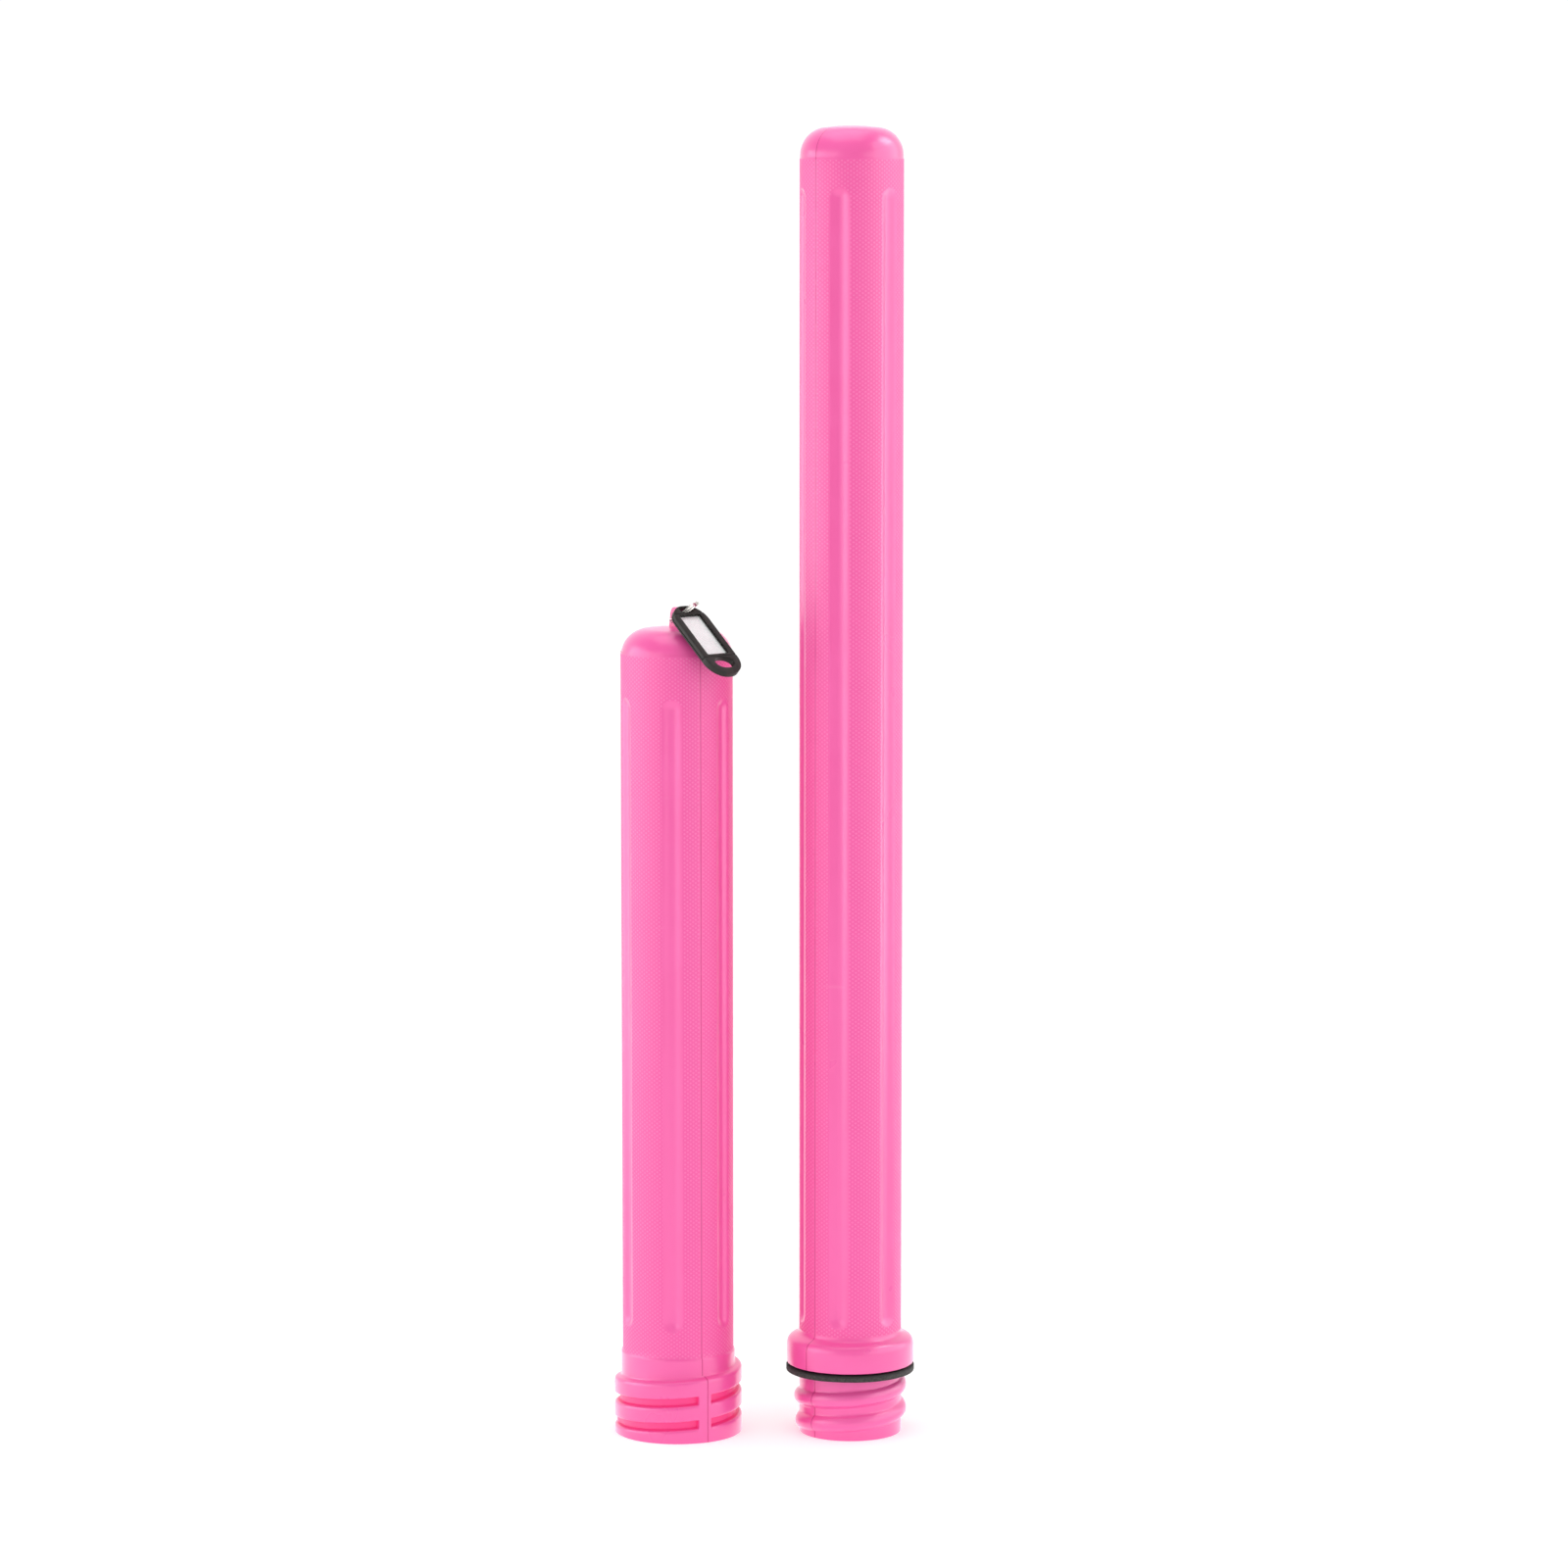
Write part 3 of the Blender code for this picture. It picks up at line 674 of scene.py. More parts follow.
def makeLid():
    half = tagValues["width"] / 2
    low, high = tagValues["lid"]
    base = tagValues["floor"] + tagValues["gap"]
    thick = tagValues["thick"]
    lid = tagOutline("tagLid", base, thick)
    cutWith(lid, tagBox("lidEnds", (-half - 1, low, -1), (half + 1, high, thick + 1)), "INTERSECT")
    x, y = (v / 2 for v in tagValues["window"])
    sideways, lengthways = tagValues["underFrame"]
    pocketTop = tagValues["glassFrom"] + tagValues["glassThick"] + tagValues["glassRoom"]
    cutWith(lid, tagBox("pocketTool", (-x - sideways, -y - lengthways, 0),
                        (x + sideways, y + lengthways, pocketTop)))
    cutWith(lid, tagBox("openingTool", (-x, -y, -2), (x, y, 6), tagValues["windowCorner"], 4))
    applyModifier(lid, "BEVEL", width=tagValues["lidEdge"] * mm, segments=3, limit_method="ANGLE",
                  angle_limit=math.radians(40))
    return lid


def makePlate(name, start, thick, spare):
    # sheet that fills the lid's pocket but for the spare
    x, y = (v / 2 + under - spare for v, under in zip(tagValues["window"], tagValues["underFrame"]))
    return tagBox(name, (-x, -y, start), (x, y, start + thick), 0.4, 3)


tagPlace = tagMatrix()
tray = makeTray()
lid = makeLid()
label = makePlate("tagLabel", tagValues["labelFrom"], tagValues["labelThick"],
                  tagValues["labelSpare"])
window = makePlate("tagWindow", tagValues["glassFrom"], tagValues["glassThick"],
                   tagValues["glassSpare"])
for piece in (tray, lid, label, window):
    piece.data.transform(tagPlace)
    finishMesh(piece, 35.0)
standFor(tray, "tag", "tag_tray")
standFor(lid, "lid", "tag_lid")
standFor(label, "tag", "tag_label")
standFor(window, "lid", "tag_window")
print("tag made")


# materials

def link(tree, source, target):
    tree.links.new(source, target)


def setInput(tree, socket, value):
    if isinstance(value, bpy.types.NodeSocket):
        tree.links.new(value, socket)
    else:
        socket.default_value = value


def calc(tree, operation, *terms):
    node = tree.nodes.new("ShaderNodeMath")
    node.operation = operation
    for socket, term in zip(node.inputs, terms):
        setInput(tree, socket, term)
    return node.outputs[0]


def add(tree, first, *others):
    for other in others:
        first = calc(tree, "ADD", first, other)
    return first


def times(tree, first, *others):
    for other in others:
        first = calc(tree, "MULTIPLY", first, other)
    return first


def minus(tree, first, second):
    return calc(tree, "SUBTRACT", first, second)


def length(tree, first, second):
    return calc(tree, "SQRT", add(tree, calc(tree, "POWER", first, 2.0),
                                  calc(tree, "POWER", second, 2.0)))


def fade(tree, value, low, high, start=0.0, end=1.0):
    node = tree.nodes.new("ShaderNodeMapRange")
    node.interpolation_type = "SMOOTHSTEP"
    for name, item in (("Value", value), ("From Min", low), ("From Max", high),
                       ("To Min", start), ("To Max", end)):
        setInput(tree, node.inputs[name], item)
    return node.outputs[0]


def noise(tree, vector, scale, detail=3.0, rough=0.5, distortion=0.0):
    node = tree.nodes.new("ShaderNodeTexNoise")
    setInput(tree, node.inputs["Vector"], vector)
    for name, item in (("Scale", scale), ("Detail", detail), ("Roughness", rough),
                       ("Distortion", distortion)):
        setInput(tree, node.inputs[name], item)
    return node.outputs[0]


def mixColour(tree, share, first, second):
    node = tree.nodes.new("ShaderNodeMix")
    node.data_type = "RGBA"
    setInput(tree, node.inputs[0], share)
    setInput(tree, node.inputs[6], first)
    setInput(tree, node.inputs[7], second)
    return node.outputs[2]


def feed(tree, shader, **sockets):
    # a socket's name has _ for each space, here and in useGroup
    for name, value in sockets.items():
        setInput(tree, shader.inputs[name.replace("_", " ")], value)


def mixValue(tree, share, first, second):
    node = tree.nodes.new("ShaderNodeMix")
    for socket, value in zip((node.inputs[0], node.inputs[2], node.inputs[3]),
                             (share, first, second)):
        setInput(tree, socket, value)
    return node.outputs[0]


def stretch(tree, vector, scale):
    node = tree.nodes.new("ShaderNodeMapping")
    link(tree, vector, node.inputs["Vector"])
    node.inputs["Scale"].default_value = scale
    return node.outputs[0]


def newGroup(name, inputs, outputs):
    tree = bpy.data.node_groups.new(name, "ShaderNodeTree")
    for label, kind, value in inputs:
        socket = tree.interface.new_socket(label, in_out="INPUT", socket_type="NodeSocket" + kind)
        if value is not None:
            socket.default_value = value
    for label, kind in outputs:
        tree.interface.new_socket(label, in_out="OUTPUT", socket_type="NodeSocket" + kind)
    source = tree.nodes.new("NodeGroupInput")
    target = tree.nodes.new("NodeGroupOutput")
    return tree, source.outputs, target.inputs


def useGroup(tree, group, **values):
    node = tree.nodes.new("ShaderNodeGroup")
    node.node_tree = group
    for name, value in values.items():
        setInput(tree, node.inputs[name.replace("_", " ")], value)
    return node.outputs


zoneValues = {
    "dot": (0.10, 0.40), "grainLow": (-0.0003, 0.0004), "grainHigh": (-0.0009, 0.0002),
    "fluteGrain": (0.88, 1.02), "fluteTone": (0.5, 1.1), "seamSwitch": (-0.0002, 0.0002),
    "seam": (0.00018, 0.00050), "besideSeam": (0.0004, 0.0011), "sunk": (0.0003, 0.0020),
    "underThread": (-0.0008, 0.0004), "evenShift": 1000.0,
}


def tubeZonesGroup():
    # where the dot grain, the flutes and the parting lines lie on a tube, from its object coordinates
    tree, given, result = newGroup("tubeZones", [
        ("Vector", "Vector", None), ("Axis X", "Float", 0.0), ("Axis Y", "Float", 0.0),
        ("Radius", "Float", 0.03), ("Columns", "Float", 100.0), ("Dot Pitch", "Float", 0.00215),
        ("Seam", "Float", 0.0), ("Low Seam Shift", "Float", 0.0), ("Low Seam Top", "Float", 0.0),
        ("Grain Low", "Float", 0.05), ("Grain High", "Float", 0.4), ("Flute Low", "Float", 0.06),
        ("Flute High", "Float", 0.4), ("Flute Half", "Float", 0.0052), ("Slot Rim", "Float", 0.0),
        ("Slot Top", "Float", 0.0225)],
        [("Dot", "Float"), ("Grain", "Float"), ("Flute", "Float"), ("Seam", "Float"),
         ("Hollow", "Float")])
    parts = tree.nodes.new("ShaderNodeSeparateXYZ")
    link(tree, given["Vector"], parts.inputs[0])
    x = minus(tree, parts.outputs[0], given["Axis X"])
    y = minus(tree, parts.outputs[1], given["Axis Y"])
    z = parts.outputs[2]
    angle = calc(tree, "ARCTAN2", y, x)

    # dots in upright columns, every second column half a pitch higher
    along = times(tree, calc(tree, "DIVIDE", angle, turn), given["Columns"])
    column = calc(tree, "ROUND", along)
    odd = calc(tree, "MODULO", add(tree, column, zoneValues["evenShift"]), 2.0)
    spacing = calc(tree, "DIVIDE", times(tree, given["Radius"], turn), given["Columns"])
    sideways = times(tree, minus(tree, along, column), spacing)
    up = add(tree, calc(tree, "DIVIDE", z, given["Dot Pitch"]), times(tree, odd, 0.5))
    upwards = times(tree, minus(tree, up, calc(tree, "ROUND", up)), given["Dot Pitch"])
    off = calc(tree, "DIVIDE", length(tree, sideways, upwards), given["Dot Pitch"])
    dot = fade(tree, off, *zoneValues["dot"], 1.0, 0.0)
    lowEdge = fade(tree, minus(tree, z, given["Grain Low"]), *zoneValues["grainLow"])
    highEdge = fade(tree, minus(tree, z, given["Grain High"]), *zoneValues["grainHigh"], 1.0, 0.0)

    # distance from a flute's middle line, as a share of its half width
    sector = turn / thread["fluteCount"]
    past = minus(tree, calc(tree, "FLOORED_MODULO", minus(tree, angle, given["Seam"]), sector),
                 sector / 2)
    across = times(tree, past, given["Radius"])
    below = minus(tree, add(tree, given["Flute Low"], given["Flute Half"]), z)
    above = add(tree, minus(tree, z, given["Flute High"]), given["Flute Half"])
    beyond = calc(tree, "MAXIMUM", calc(tree, "MAXIMUM", below, above), 0.0)
    reach = calc(tree, "DIVIDE", length(tree, across, beyond), given["Flute Half"])
    grain = times(tree, lowEdge, highEdge, fade(tree, reach, *zoneValues["fluteGrain"]))

    # both parting lines, set over a little on the mouth
    lower = fade(tree, minus(tree, z, given["Low Seam Top"]), *zoneValues["seamSwitch"], 1.0, 0.0)
    middle = add(tree, given["Seam"], times(tree, given["Low Seam Shift"], lower))
    quarter = math.pi / 2
    fromSeam = minus(tree, calc(tree, "FLOORED_MODULO", add(
        tree, minus(tree, angle, middle), quarter), math.pi), quarter)
    seamOff = times(tree, calc(tree, "ABSOLUTE", fromSeam), given["Radius"])
    clear = fade(tree, seamOff, *zoneValues["besideSeam"])

    # bottoms of the thread slots, in from the rim, under a limit that climbs with the thread: the mask
    # for painted shade in the slots and for their rougher finish
    rear = minus(tree, given["Seam"], math.pi)
    unrolled = add(tree, rear, calc(tree, "FLOORED_MODULO", minus(tree, angle, rear), turn))
    climb = times(tree, add(tree, unrolled, math.pi), thread["pitch"] * mm / turn)
    depth = minus(tree, given["Slot Rim"], length(tree, x, y))
    top = minus(tree, minus(tree, z, climb), given["Slot Top"])
    under = fade(tree, top, *zoneValues["underThread"], 1.0, 0.0)
    link(tree, times(tree, dot, grain, clear), result["Dot"])
    link(tree, times(tree, grain, clear), result["Grain"])
    link(tree, fade(tree, reach, *zoneValues["fluteTone"], 1.0, 0.0), result["Flute"])
    link(tree, fade(tree, seamOff, *zoneValues["seam"], 1.0, 0.0), result["Seam"])
    link(tree, times(tree, fade(tree, depth, *zoneValues["sunk"]), under), result["Hollow"])
    return tree


def scuffGroup():
    # slow tone drift, fine speckle and sparse hairline scratches, shared by every moulded plastic
    tree, given, result = newGroup("scuffs", [
        ("Vector", "Vector", None), ("Drift Scale", "Float", 30.0), ("Speckle Scale", "Float", 900.0),
        ("Scratch Scale", "Float", 160.0)],
        [("Drift", "Float"), ("Speckle", "Float"), ("Scratch", "Float")])
    drift = noise(tree, given["Vector"], given["Drift Scale"], 3.0, 0.55, 0.4)
    speckle = noise(tree, given["Vector"], given["Speckle Scale"], 2.0, 0.6)
    first = noise(tree, stretch(tree, given["Vector"], (1.0, 1.0, 0.09)), given["Scratch Scale"], 2.0)
    second = noise(tree, stretch(tree, given["Vector"], (0.2, 0.25, 1.3)), given["Scratch Scale"], 2.0)
    patches = fade(tree, noise(tree, given["Vector"], given["Drift Scale"], 1.0), 0.5, 0.68)
    hair = calc(tree, "MAXIMUM", fade(tree, first, 0.70, 0.78), fade(tree, second, 0.71, 0.79))
    link(tree, drift, result["Drift"])
    link(tree, speckle, result["Speckle"])
    link(tree, times(tree, hair, patches), result["Scratch"])
    return tree


def edgeSheenGroup():
    # 1 on the outer edges of a block, where a rounded normal leaves the face's own: the mask for a
    # painted highlight along the edges
    tree, given, result = newGroup("edgeSheen", [("Width", "Float", 0.0005)], [("Edge", "Float")])
    rounded = tree.nodes.new("ShaderNodeBevel")
    rounded.samples = 8
    link(tree, given["Width"], rounded.inputs["Radius"])
    own = tree.nodes.new("ShaderNodeNewGeometry")
    same = tree.nodes.new("ShaderNodeVectorMath")
    same.operation = "DOT_PRODUCT"
    link(tree, rounded.outputs[0], same.inputs[0])
    link(tree, own.outputs["Normal"], same.inputs[1])
    link(tree, fade(tree, same.outputs["Value"], 0.80, 0.985, 1.0, 0.0), result["Edge"])
    return tree


def newMaterial(name, obj):
    material = bpy.data.materials.new(name)
    material.use_nodes = True
    tree = material.node_tree
    shader = tree.nodes["Principled BSDF"]
    place = tree.nodes.new("ShaderNodeTexCoord").outputs["Object"]
    obj.data.materials.clear()
    obj.data.materials.append(material)
    return tree, shader, place


def bump(tree, height, relief, before=None):
    node = tree.nodes.new("ShaderNodeBump")
    link(tree, height, node.inputs["Height"])
    node.inputs["Strength"].default_value, node.inputs["Distance"].default_value = relief
    if before:
        link(tree, before, node.inputs["Normal"])
    return node.outputs[0]


zones = tubeZonesGroup()
scuffs = scuffGroup()
edges = edgeSheenGroup()

# the colour between the dots is painted shade, and the dot colour is a painted highlight
pinkValues = {
    "deep": (0.890, 0.100, 0.372, 1.0), "light": (0.910, 0.116, 0.402, 1.0),
    "fluteTone": (0.910, 0.118, 0.405, 1.0), "seamTone": (0.58, 0.012, 0.170, 1.0),
    "betweenDotsShade": (0.870, 0.078, 0.340, 1.0), "dotHighlight": (0.930, 0.175, 0.465, 1.0),
    "scuffTone": (0.93, 0.20, 0.46, 1.0), "slotShade": (0.940, 0.048, 0.290, 1.0),
    "betweenShare": 0.75, "dotShare": 0.8, "fluteShare": 0.6, "scuffShare": 0.25, "seamShare": 0.7,
    "roughSmooth": 0.30, "roughGrain": 0.60, "roughSlot": 0.5, "roughDrift": 0.16,
    "roughScuff": 0.12, "dotShine": 0.07, "dotPitch": 0.00217, "dotRelief": (1.0, 0.00008),
    "speckleRelief": (0.10, 0.00003), "waveScale": 55.0, "waveRelief": (0.15, 0.0006),
    "lowSeamTop": 35.4, "ior": 1.51,
}


def pinkMaterial(name, obj, tube, columns):
    tree, shader, place = newMaterial(name, obj)
    low, high = tube["flutes"]
    area = useGroup(
        tree, zones, Vector=place, Axis_X=tube["axis"][0], Axis_Y=tube["axis"][1],
        Radius=tube["radius"] * mm, Columns=float(columns), Dot_Pitch=pinkValues["dotPitch"],
        Seam=math.radians(tube["seam"]), Low_Seam_Shift=math.radians(tube["mouthSeamShift"]),
        Low_Seam_Top=pinkValues["lowSeamTop"] * mm, Grain_Low=tube["grain"][0] * mm,
        Grain_High=tube["grain"][1] * mm, Flute_Low=low * mm, Flute_High=high * mm,
        Flute_Half=thread["fluteHalf"] * mm, Slot_Rim=tube.get("mouthRadius", 0.0) * mm)
    wear = useGroup(tree, scuffs, Vector=place, Drift_Scale=22.0, Speckle_Scale=1400.0,
                    Scratch_Scale=150.0)
    tone = mixColour(tree, fade(tree, wear["Drift"], 0.35, 0.65), pinkValues["deep"],
                     pinkValues["light"])
    for mask, share, colour in (
            # painted shade over the grained zone, between the dots
            (area["Grain"], pinkValues["betweenShare"], "betweenDotsShade"),
            # painted highlight: paler dots, for the light on the raised dots
            (area["Dot"], pinkValues["dotShare"], "dotHighlight"),
            (area["Flute"], pinkValues["fluteShare"], "fluteTone"),
            (wear["Scratch"], pinkValues["scuffShare"], "scuffTone"),
            # painted shade: darker, deeper pink in the slot bottoms
            (area["Hollow"], 1.0, "slotShade"),
            (area["Seam"], pinkValues["seamShare"], "seamTone")):
        tone = mixColour(tree, times(tree, mask, share), tone, pinkValues[colour])
    grained = pinkValues["roughGrain"] - pinkValues["roughSmooth"]
    rough = add(tree, pinkValues["roughSmooth"], times(tree, area["Grain"], grained),
                times(tree, minus(tree, wear["Drift"], 0.5), pinkValues["roughDrift"]),
                times(tree, area["Dot"], -pinkValues["dotShine"]),
                times(tree, wear["Scratch"], pinkValues["roughScuff"]))
    inSlot = times(tree, area["Hollow"], pinkValues["roughSlot"])
    wave = noise(tree, stretch(tree, place, (1.0, 1.0, 0.35)), pinkValues["waveScale"], 2.0)
    normal = bump(tree, wave, pinkValues["waveRelief"])
    normal = bump(tree, wear["Speckle"], pinkValues["speckleRelief"], normal)
    normal = bump(tree, area["Dot"], pinkValues["dotRelief"], normal)
    feed(tree, shader, Base_Color=tone, Roughness=calc(tree, "MAXIMUM", rough, inSlot),
         Normal=normal, IOR=pinkValues["ior"])


# the darkest colour here is painted shade, for the top edge in the collar's shadow
foamValues = {"dark": (0.012, 0.010, 0.010, 1.0), "pale": (0.055, 0.047, 0.045, 1.0),
              "fleck": (0.20, 0.18, 0.17, 1.0), "pressed": (0.006, 0.004, 0.004, 1.0),
              "pressedFrom": 0.0014, "pressedTo": 0.0004, "rough": 0.8, "roughGrain": 0.2,
              "cellScale": 2100.0, "grainScale": 900.0, "fleckScale": 1500.0,
              "cellShare": 0.6, "relief": (0.7, 0.0003)}


def foamMaterial(obj):
    tree, shader, place = newMaterial("foamCells", obj)
    cells = tree.nodes.new("ShaderNodeTexVoronoi")
    link(tree, place, cells.inputs["Vector"])
    cells.inputs["Scale"].default_value = foamValues["cellScale"]
    grain = noise(tree, place, foamValues["grainScale"], 4.0, 0.65)
    tone = mixColour(tree, fade(tree, grain, 0.35, 0.7), foamValues["dark"], foamValues["pale"])
    flecks = fade(tree, noise(tree, place, foamValues["fleckScale"], 1.0), 0.72, 0.80)
    tone = mixColour(tree, flecks, tone, foamValues["fleck"])
    parts = tree.nodes.new("ShaderNodeSeparateXYZ")
    link(tree, place, parts.inputs[0])
    # painted shade: near black towards the top edge, where the collar shades it
    pressed = fade(tree, parts.outputs[2], washerHigh.z - foamValues["pressedFrom"],
                   washerHigh.z - foamValues["pressedTo"])
    tone = mixColour(tree, pressed, tone, foamValues["pressed"])
    rough = add(tree, foamValues["rough"], times(tree, grain, foamValues["roughGrain"]))
    height = add(tree, times(tree, cells.outputs["Distance"], foamValues["cellShare"]), grain)
    feed(tree, shader, Base_Color=tone, Roughness=rough,
         Normal=bump(tree, height, foamValues["relief"]))


steelValues = {"bright": (0.62, 0.600, 0.57, 1.0), "dull": (0.34, 0.315, 0.29, 1.0),
               "rough": 0.16, "roughDrift": 0.16, "roughScuff": 0.2, "relief": (0.2, 0.00003)}


def steelMaterial(obj):
    tree, shader, place = newMaterial("ringSteel", obj)
    wear = useGroup(tree, scuffs, Vector=place, Drift_Scale=300.0, Speckle_Scale=6000.0,
                    Scratch_Scale=2600.0)
    tone = mixColour(tree, fade(tree, wear["Drift"], 0.35, 0.7), steelValues["bright"],
                     steelValues["dull"])
    rough = add(tree, steelValues["rough"], times(tree, wear["Drift"], steelValues["roughDrift"]),
                times(tree, wear["Scratch"], steelValues["roughScuff"]))
    feed(tree, shader, Base_Color=tone, Roughness=rough, Metallic=1.0,
         Normal=bump(tree, wear["Speckle"], steelValues["relief"]))


# the edge colour is a pale painted highlight along the outer edges, and also the colour of the
# scratches
charcoalValues = {"base": (0.011, 0.010, 0.009, 1.0), "pale": (0.021, 0.019, 0.0165, 1.0),
                  "edge": (0.16, 0.152, 0.14, 1.0), "edgeWidth": 0.0004, "edgeShare": (0.25, 0.6),
                  "scuffShare": 0.3, "rough": 0.46, "roughDrift": 0.14, "roughScuff": 0.15,
                  "relief": (0.35, 0.00004), "gloss": 0.18}


def charcoalMaterial(name, obj):
    tree, shader, place = newMaterial(name, obj)
    wear = useGroup(tree, scuffs, Vector=place, Drift_Scale=140.0, Speckle_Scale=3500.0,
                    Scratch_Scale=900.0)
    edge = useGroup(tree, edges, Width=charcoalValues["edgeWidth"])["Edge"]
    tone = mixColour(tree, fade(tree, wear["Drift"], 0.3, 0.7), charcoalValues["base"],
                     charcoalValues["pale"])
    # painted highlight along the outer edges, broken up by speckle
    least, more = charcoalValues["edgeShare"]
    litEdge = times(tree, edge, add(tree, least, times(tree, wear["Speckle"], more)))
    tone = mixColour(tree, litEdge, tone, charcoalValues["edge"])
    scuffed = times(tree, wear["Scratch"], charcoalValues["scuffShare"])
    tone = mixColour(tree, scuffed, tone, charcoalValues["edge"])
    rough = add(tree, charcoalValues["rough"],
                times(tree, wear["Drift"], charcoalValues["roughDrift"]),
                times(tree, wear["Scratch"], charcoalValues["roughScuff"]))
    feed(tree, shader, Base_Color=tone, Roughness=rough, Specular_IOR_Level=charcoalValues["gloss"],
         Normal=bump(tree, wear["Speckle"], charcoalValues["relief"]))


paperValues = {"white": (0.88, 0.89, 0.885, 1.0), "grey": (0.84, 0.855, 0.85, 1.0),
               "fibreScale": 1200.0, "cloudScale": 90.0, "rough": 0.7, "roughFibre": 0.2,
               "relief": (0.10, 0.00001)}


def paperMaterial(obj):
    tree, shader, place = newMaterial("paperCard", obj)
    fibres = noise(tree, place, paperValues["fibreScale"], 1.0, 0.5, 1.5)
    cloud = noise(tree, place, paperValues["cloudScale"], 2.0)
    tone = mixColour(tree, fade(tree, cloud, 0.3, 0.7), paperValues["white"], paperValues["grey"])
    rough = add(tree, paperValues["rough"], times(tree, fibres, paperValues["roughFibre"]))
    feed(tree, shader, Base_Color=tone, Roughness=rough,
         Normal=bump(tree, fibres, paperValues["relief"]))


clearValues = {"tint": (0.93, 0.95, 0.95, 1.0), "hazeTint": (0.86, 0.89, 0.89, 1.0),
               "hazeScale": 220.0, "rough": 0.14, "roughHaze": 0.12, "alpha": 0.05,
               "alphaHaze": 0.06, "ior": 1.46}


def clearMaterial(obj):
    tree, shader, place = newMaterial("clearPlastic", obj)
    haze = noise(tree, place, clearValues["hazeScale"], 3.0, 0.6, 0.6)
    rough = add(tree, clearValues["rough"], times(tree, haze, clearValues["roughHaze"]))
    alpha = add(tree, clearValues["alpha"], times(tree, haze, clearValues["alphaHaze"]))
    tone = mixColour(tree, haze, clearValues["tint"], clearValues["hazeTint"])
    feed(tree, shader, Base_Color=tone, Roughness=rough, Alpha=alpha, IOR=clearValues["ior"])


pinkMaterial("pinkShort", shortHalf, shortTube, 124)
pinkMaterial("pinkLong", longHalf, longTube, 110)
foamMaterial(washer)
steelMaterial(ring)
charcoalMaterial("charcoalTray", tray)
charcoalMaterial("charcoalLid", lid)
paperMaterial(label)
clearMaterial(window)
print("materials made")


# floor, light and camera

stageValues = {
    "floorSize": 3.4, "floorTones": ((0.75, 0.80, 0.775, 1.0), (0.73, 0.78, 0.755, 1.0)),
    "floorGlow": 0.42, "floorSheen": 1.55,
    "skyFront": 0.97, "skyBack": 0.55, "skyTop": 0.80, "skySeen": 1.05,
    "glossFront": 0.45, "glossBack": 1.6,
    "cameraPlace": (0.0105, -2.7535, 0.672), "cameraPitch": 6.7, "lens": 120.4,
}
bpy.ops.mesh.primitive_plane_add(size=stageValues["floorSize"], location=(0, 0, 0))
floor = bpy.context.active_object
floor.name = "floor"
tree, shader, place = newMaterial("floorPaper", floor)
cloud = noise(tree, place, 3.0, 2.0)
seenIn = tree.nodes.new("ShaderNodeLightPath").outputs["Is Glossy Ray"]
glow = mixValue(tree, seenIn, stageValues["floorGlow"], stageValues["floorSheen"])
feed(tree, shader, Base_Color=mixColour(tree, cloud, *stageValues["floorTones"]),
     Roughness=add(tree, 0.8, times(tree, cloud, 0.1)), Specular_IOR_Level=0.2,
     Emission_Color=(1.0, 1.0, 1.0, 1.0), Emission_Strength=glow)

# white surround, darker on the camera's side for what it lights
world = bpy.context.scene.world or bpy.data.worlds.new("World")
bpy.context.scene.world = world
world.use_nodes = True
worldTree = world.node_tree
worldTree.nodes.clear()
direction = worldTree.nodes.new("ShaderNodeSeparateXYZ")
link(worldTree, worldTree.nodes.new("ShaderNodeTexCoord").outputs["Generated"], direction.inputs[0])
lit = times(worldTree, fade(worldTree, direction.outputs[1], -0.5, 0.6, stageValues["skyFront"],
                            stageValues["skyBack"]),
            fade(worldTree, direction.outputs[2], 0.3, 0.9, 1.0, stageValues["skyTop"]))
mirrored = fade(worldTree, direction.outputs[1], -0.2, 0.8, stageValues["glossFront"],
                stageValues["glossBack"])
rays = worldTree.nodes.new("ShaderNodeLightPath").outputs
strength = mixValue(worldTree, rays["Is Glossy Ray"], lit, mirrored)
strength = mixValue(worldTree, rays["Is Camera Ray"], strength, stageValues["skySeen"])
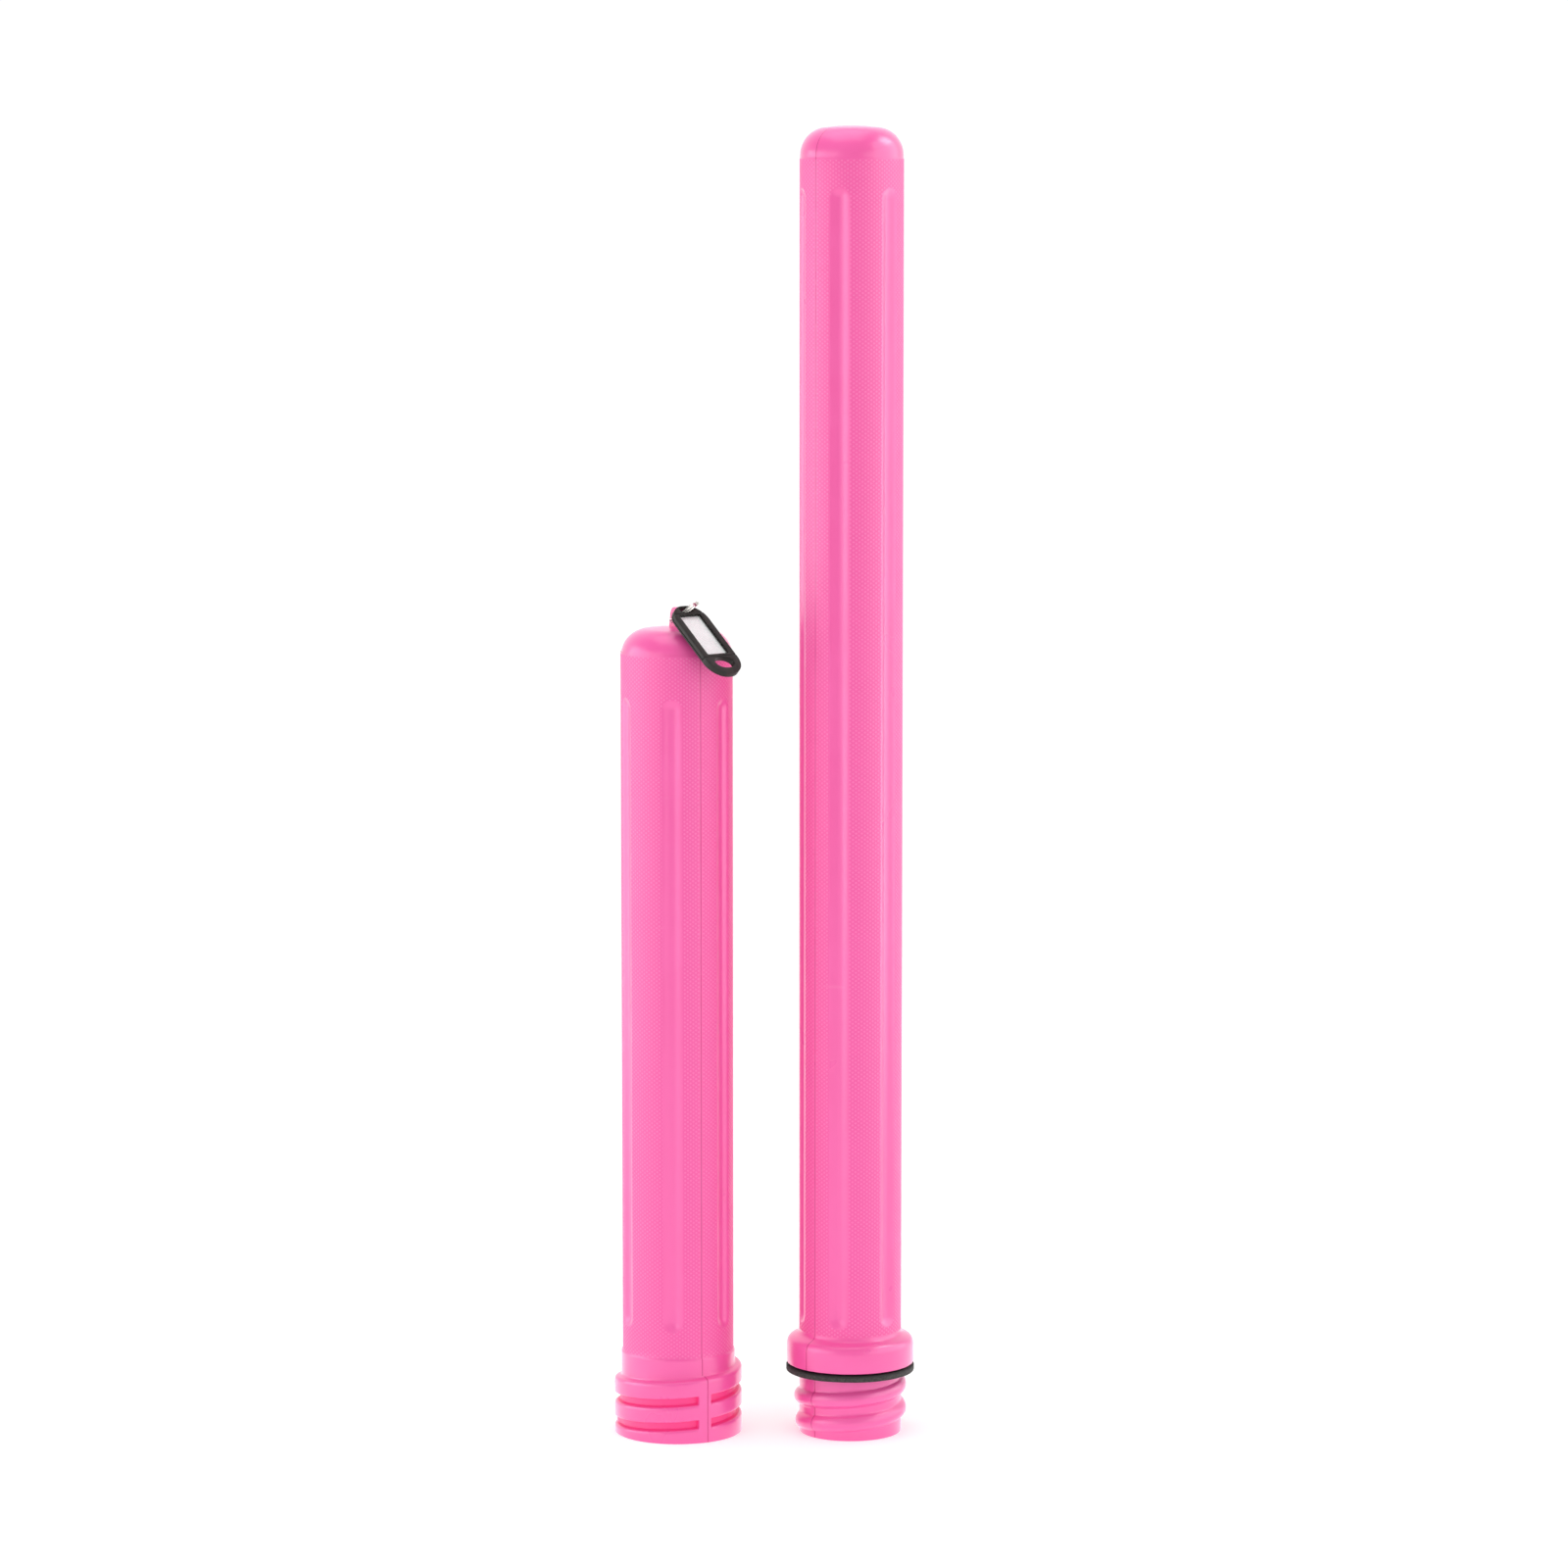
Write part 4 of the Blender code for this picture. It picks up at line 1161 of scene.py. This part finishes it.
sky = worldTree.nodes.new("ShaderNodeBackground")
sky.inputs["Color"].default_value = (1.0, 1.0, 1.0, 1.0)
link(worldTree, strength, sky.inputs["Strength"])
worldOut = worldTree.nodes.new("ShaderNodeOutputWorld")
link(worldTree, sky.outputs[0], worldOut.inputs["Surface"])

lights = [
    # name, place, aim, size, size across, brightness, lights dull surfaces
    ("leftBox", (-0.95, -0.10, 0.46), (0.0, -0.10, 0.46), 1.05, 0.85, 4.1, False),
    ("rightBox", (0.95, -0.08, 0.85), (0.0, -0.08, 0.85), 1.25, 1.60, 3.4, False),
    ("leftFrontBox", (-1.15, -1.25, 0.60), (0.0, 0.0, 0.50), 0.8, 0.9, 2.2, False),
    ("rightFrontBox", (1.15, -1.25, 0.60), (0.0, 0.0, 0.50), 0.8, 0.9, 1.8, False),
    ("rightTopBox", (0.95, 0.25, 1.45), (0.05, 0.0, 0.69), 0.5, 0.45, 6.0, False),
    ("overhead", (-0.2, 0.0, 2.3), (0.0, 0.0, 0.0), 1.6, 1.6, 2.0, True),
]
for name, spot, aim, width, tall, brightness, diffuse in lights:
    lamp = bpy.data.lights.new(name, "AREA")
    lamp.shape = "RECTANGLE"
    lamp.size = width
    lamp.size_y = tall
    lamp.energy = brightness * math.pi * width * tall
    holder = bpy.data.objects.new(name, lamp)
    bpy.context.scene.collection.objects.link(holder)
    holder.location = spot
    holder.rotation_euler = (Vector(aim) - Vector(spot)).to_track_quat("-Z", "Y").to_euler()
    holder.visible_diffuse = diffuse

cameraData = bpy.data.cameras.new("camera")
cameraData.lens = stageValues["lens"]
cameraData.sensor_width = 36.0
cameraData.clip_start = 0.05
cameraData.clip_end = 100.0
camera = bpy.data.objects.new("camera", cameraData)
bpy.context.scene.collection.objects.link(camera)
x, y, z = stageValues["cameraPlace"]
camera.location = (x, y + eyePlace.y, z)
camera.rotation_euler = (math.radians(90.0 - stageValues["cameraPitch"]), 0.0, 0.0)
bpy.context.scene.camera = camera
bpy.context.scene.view_settings.view_transform = "Standard"
print("stage made")
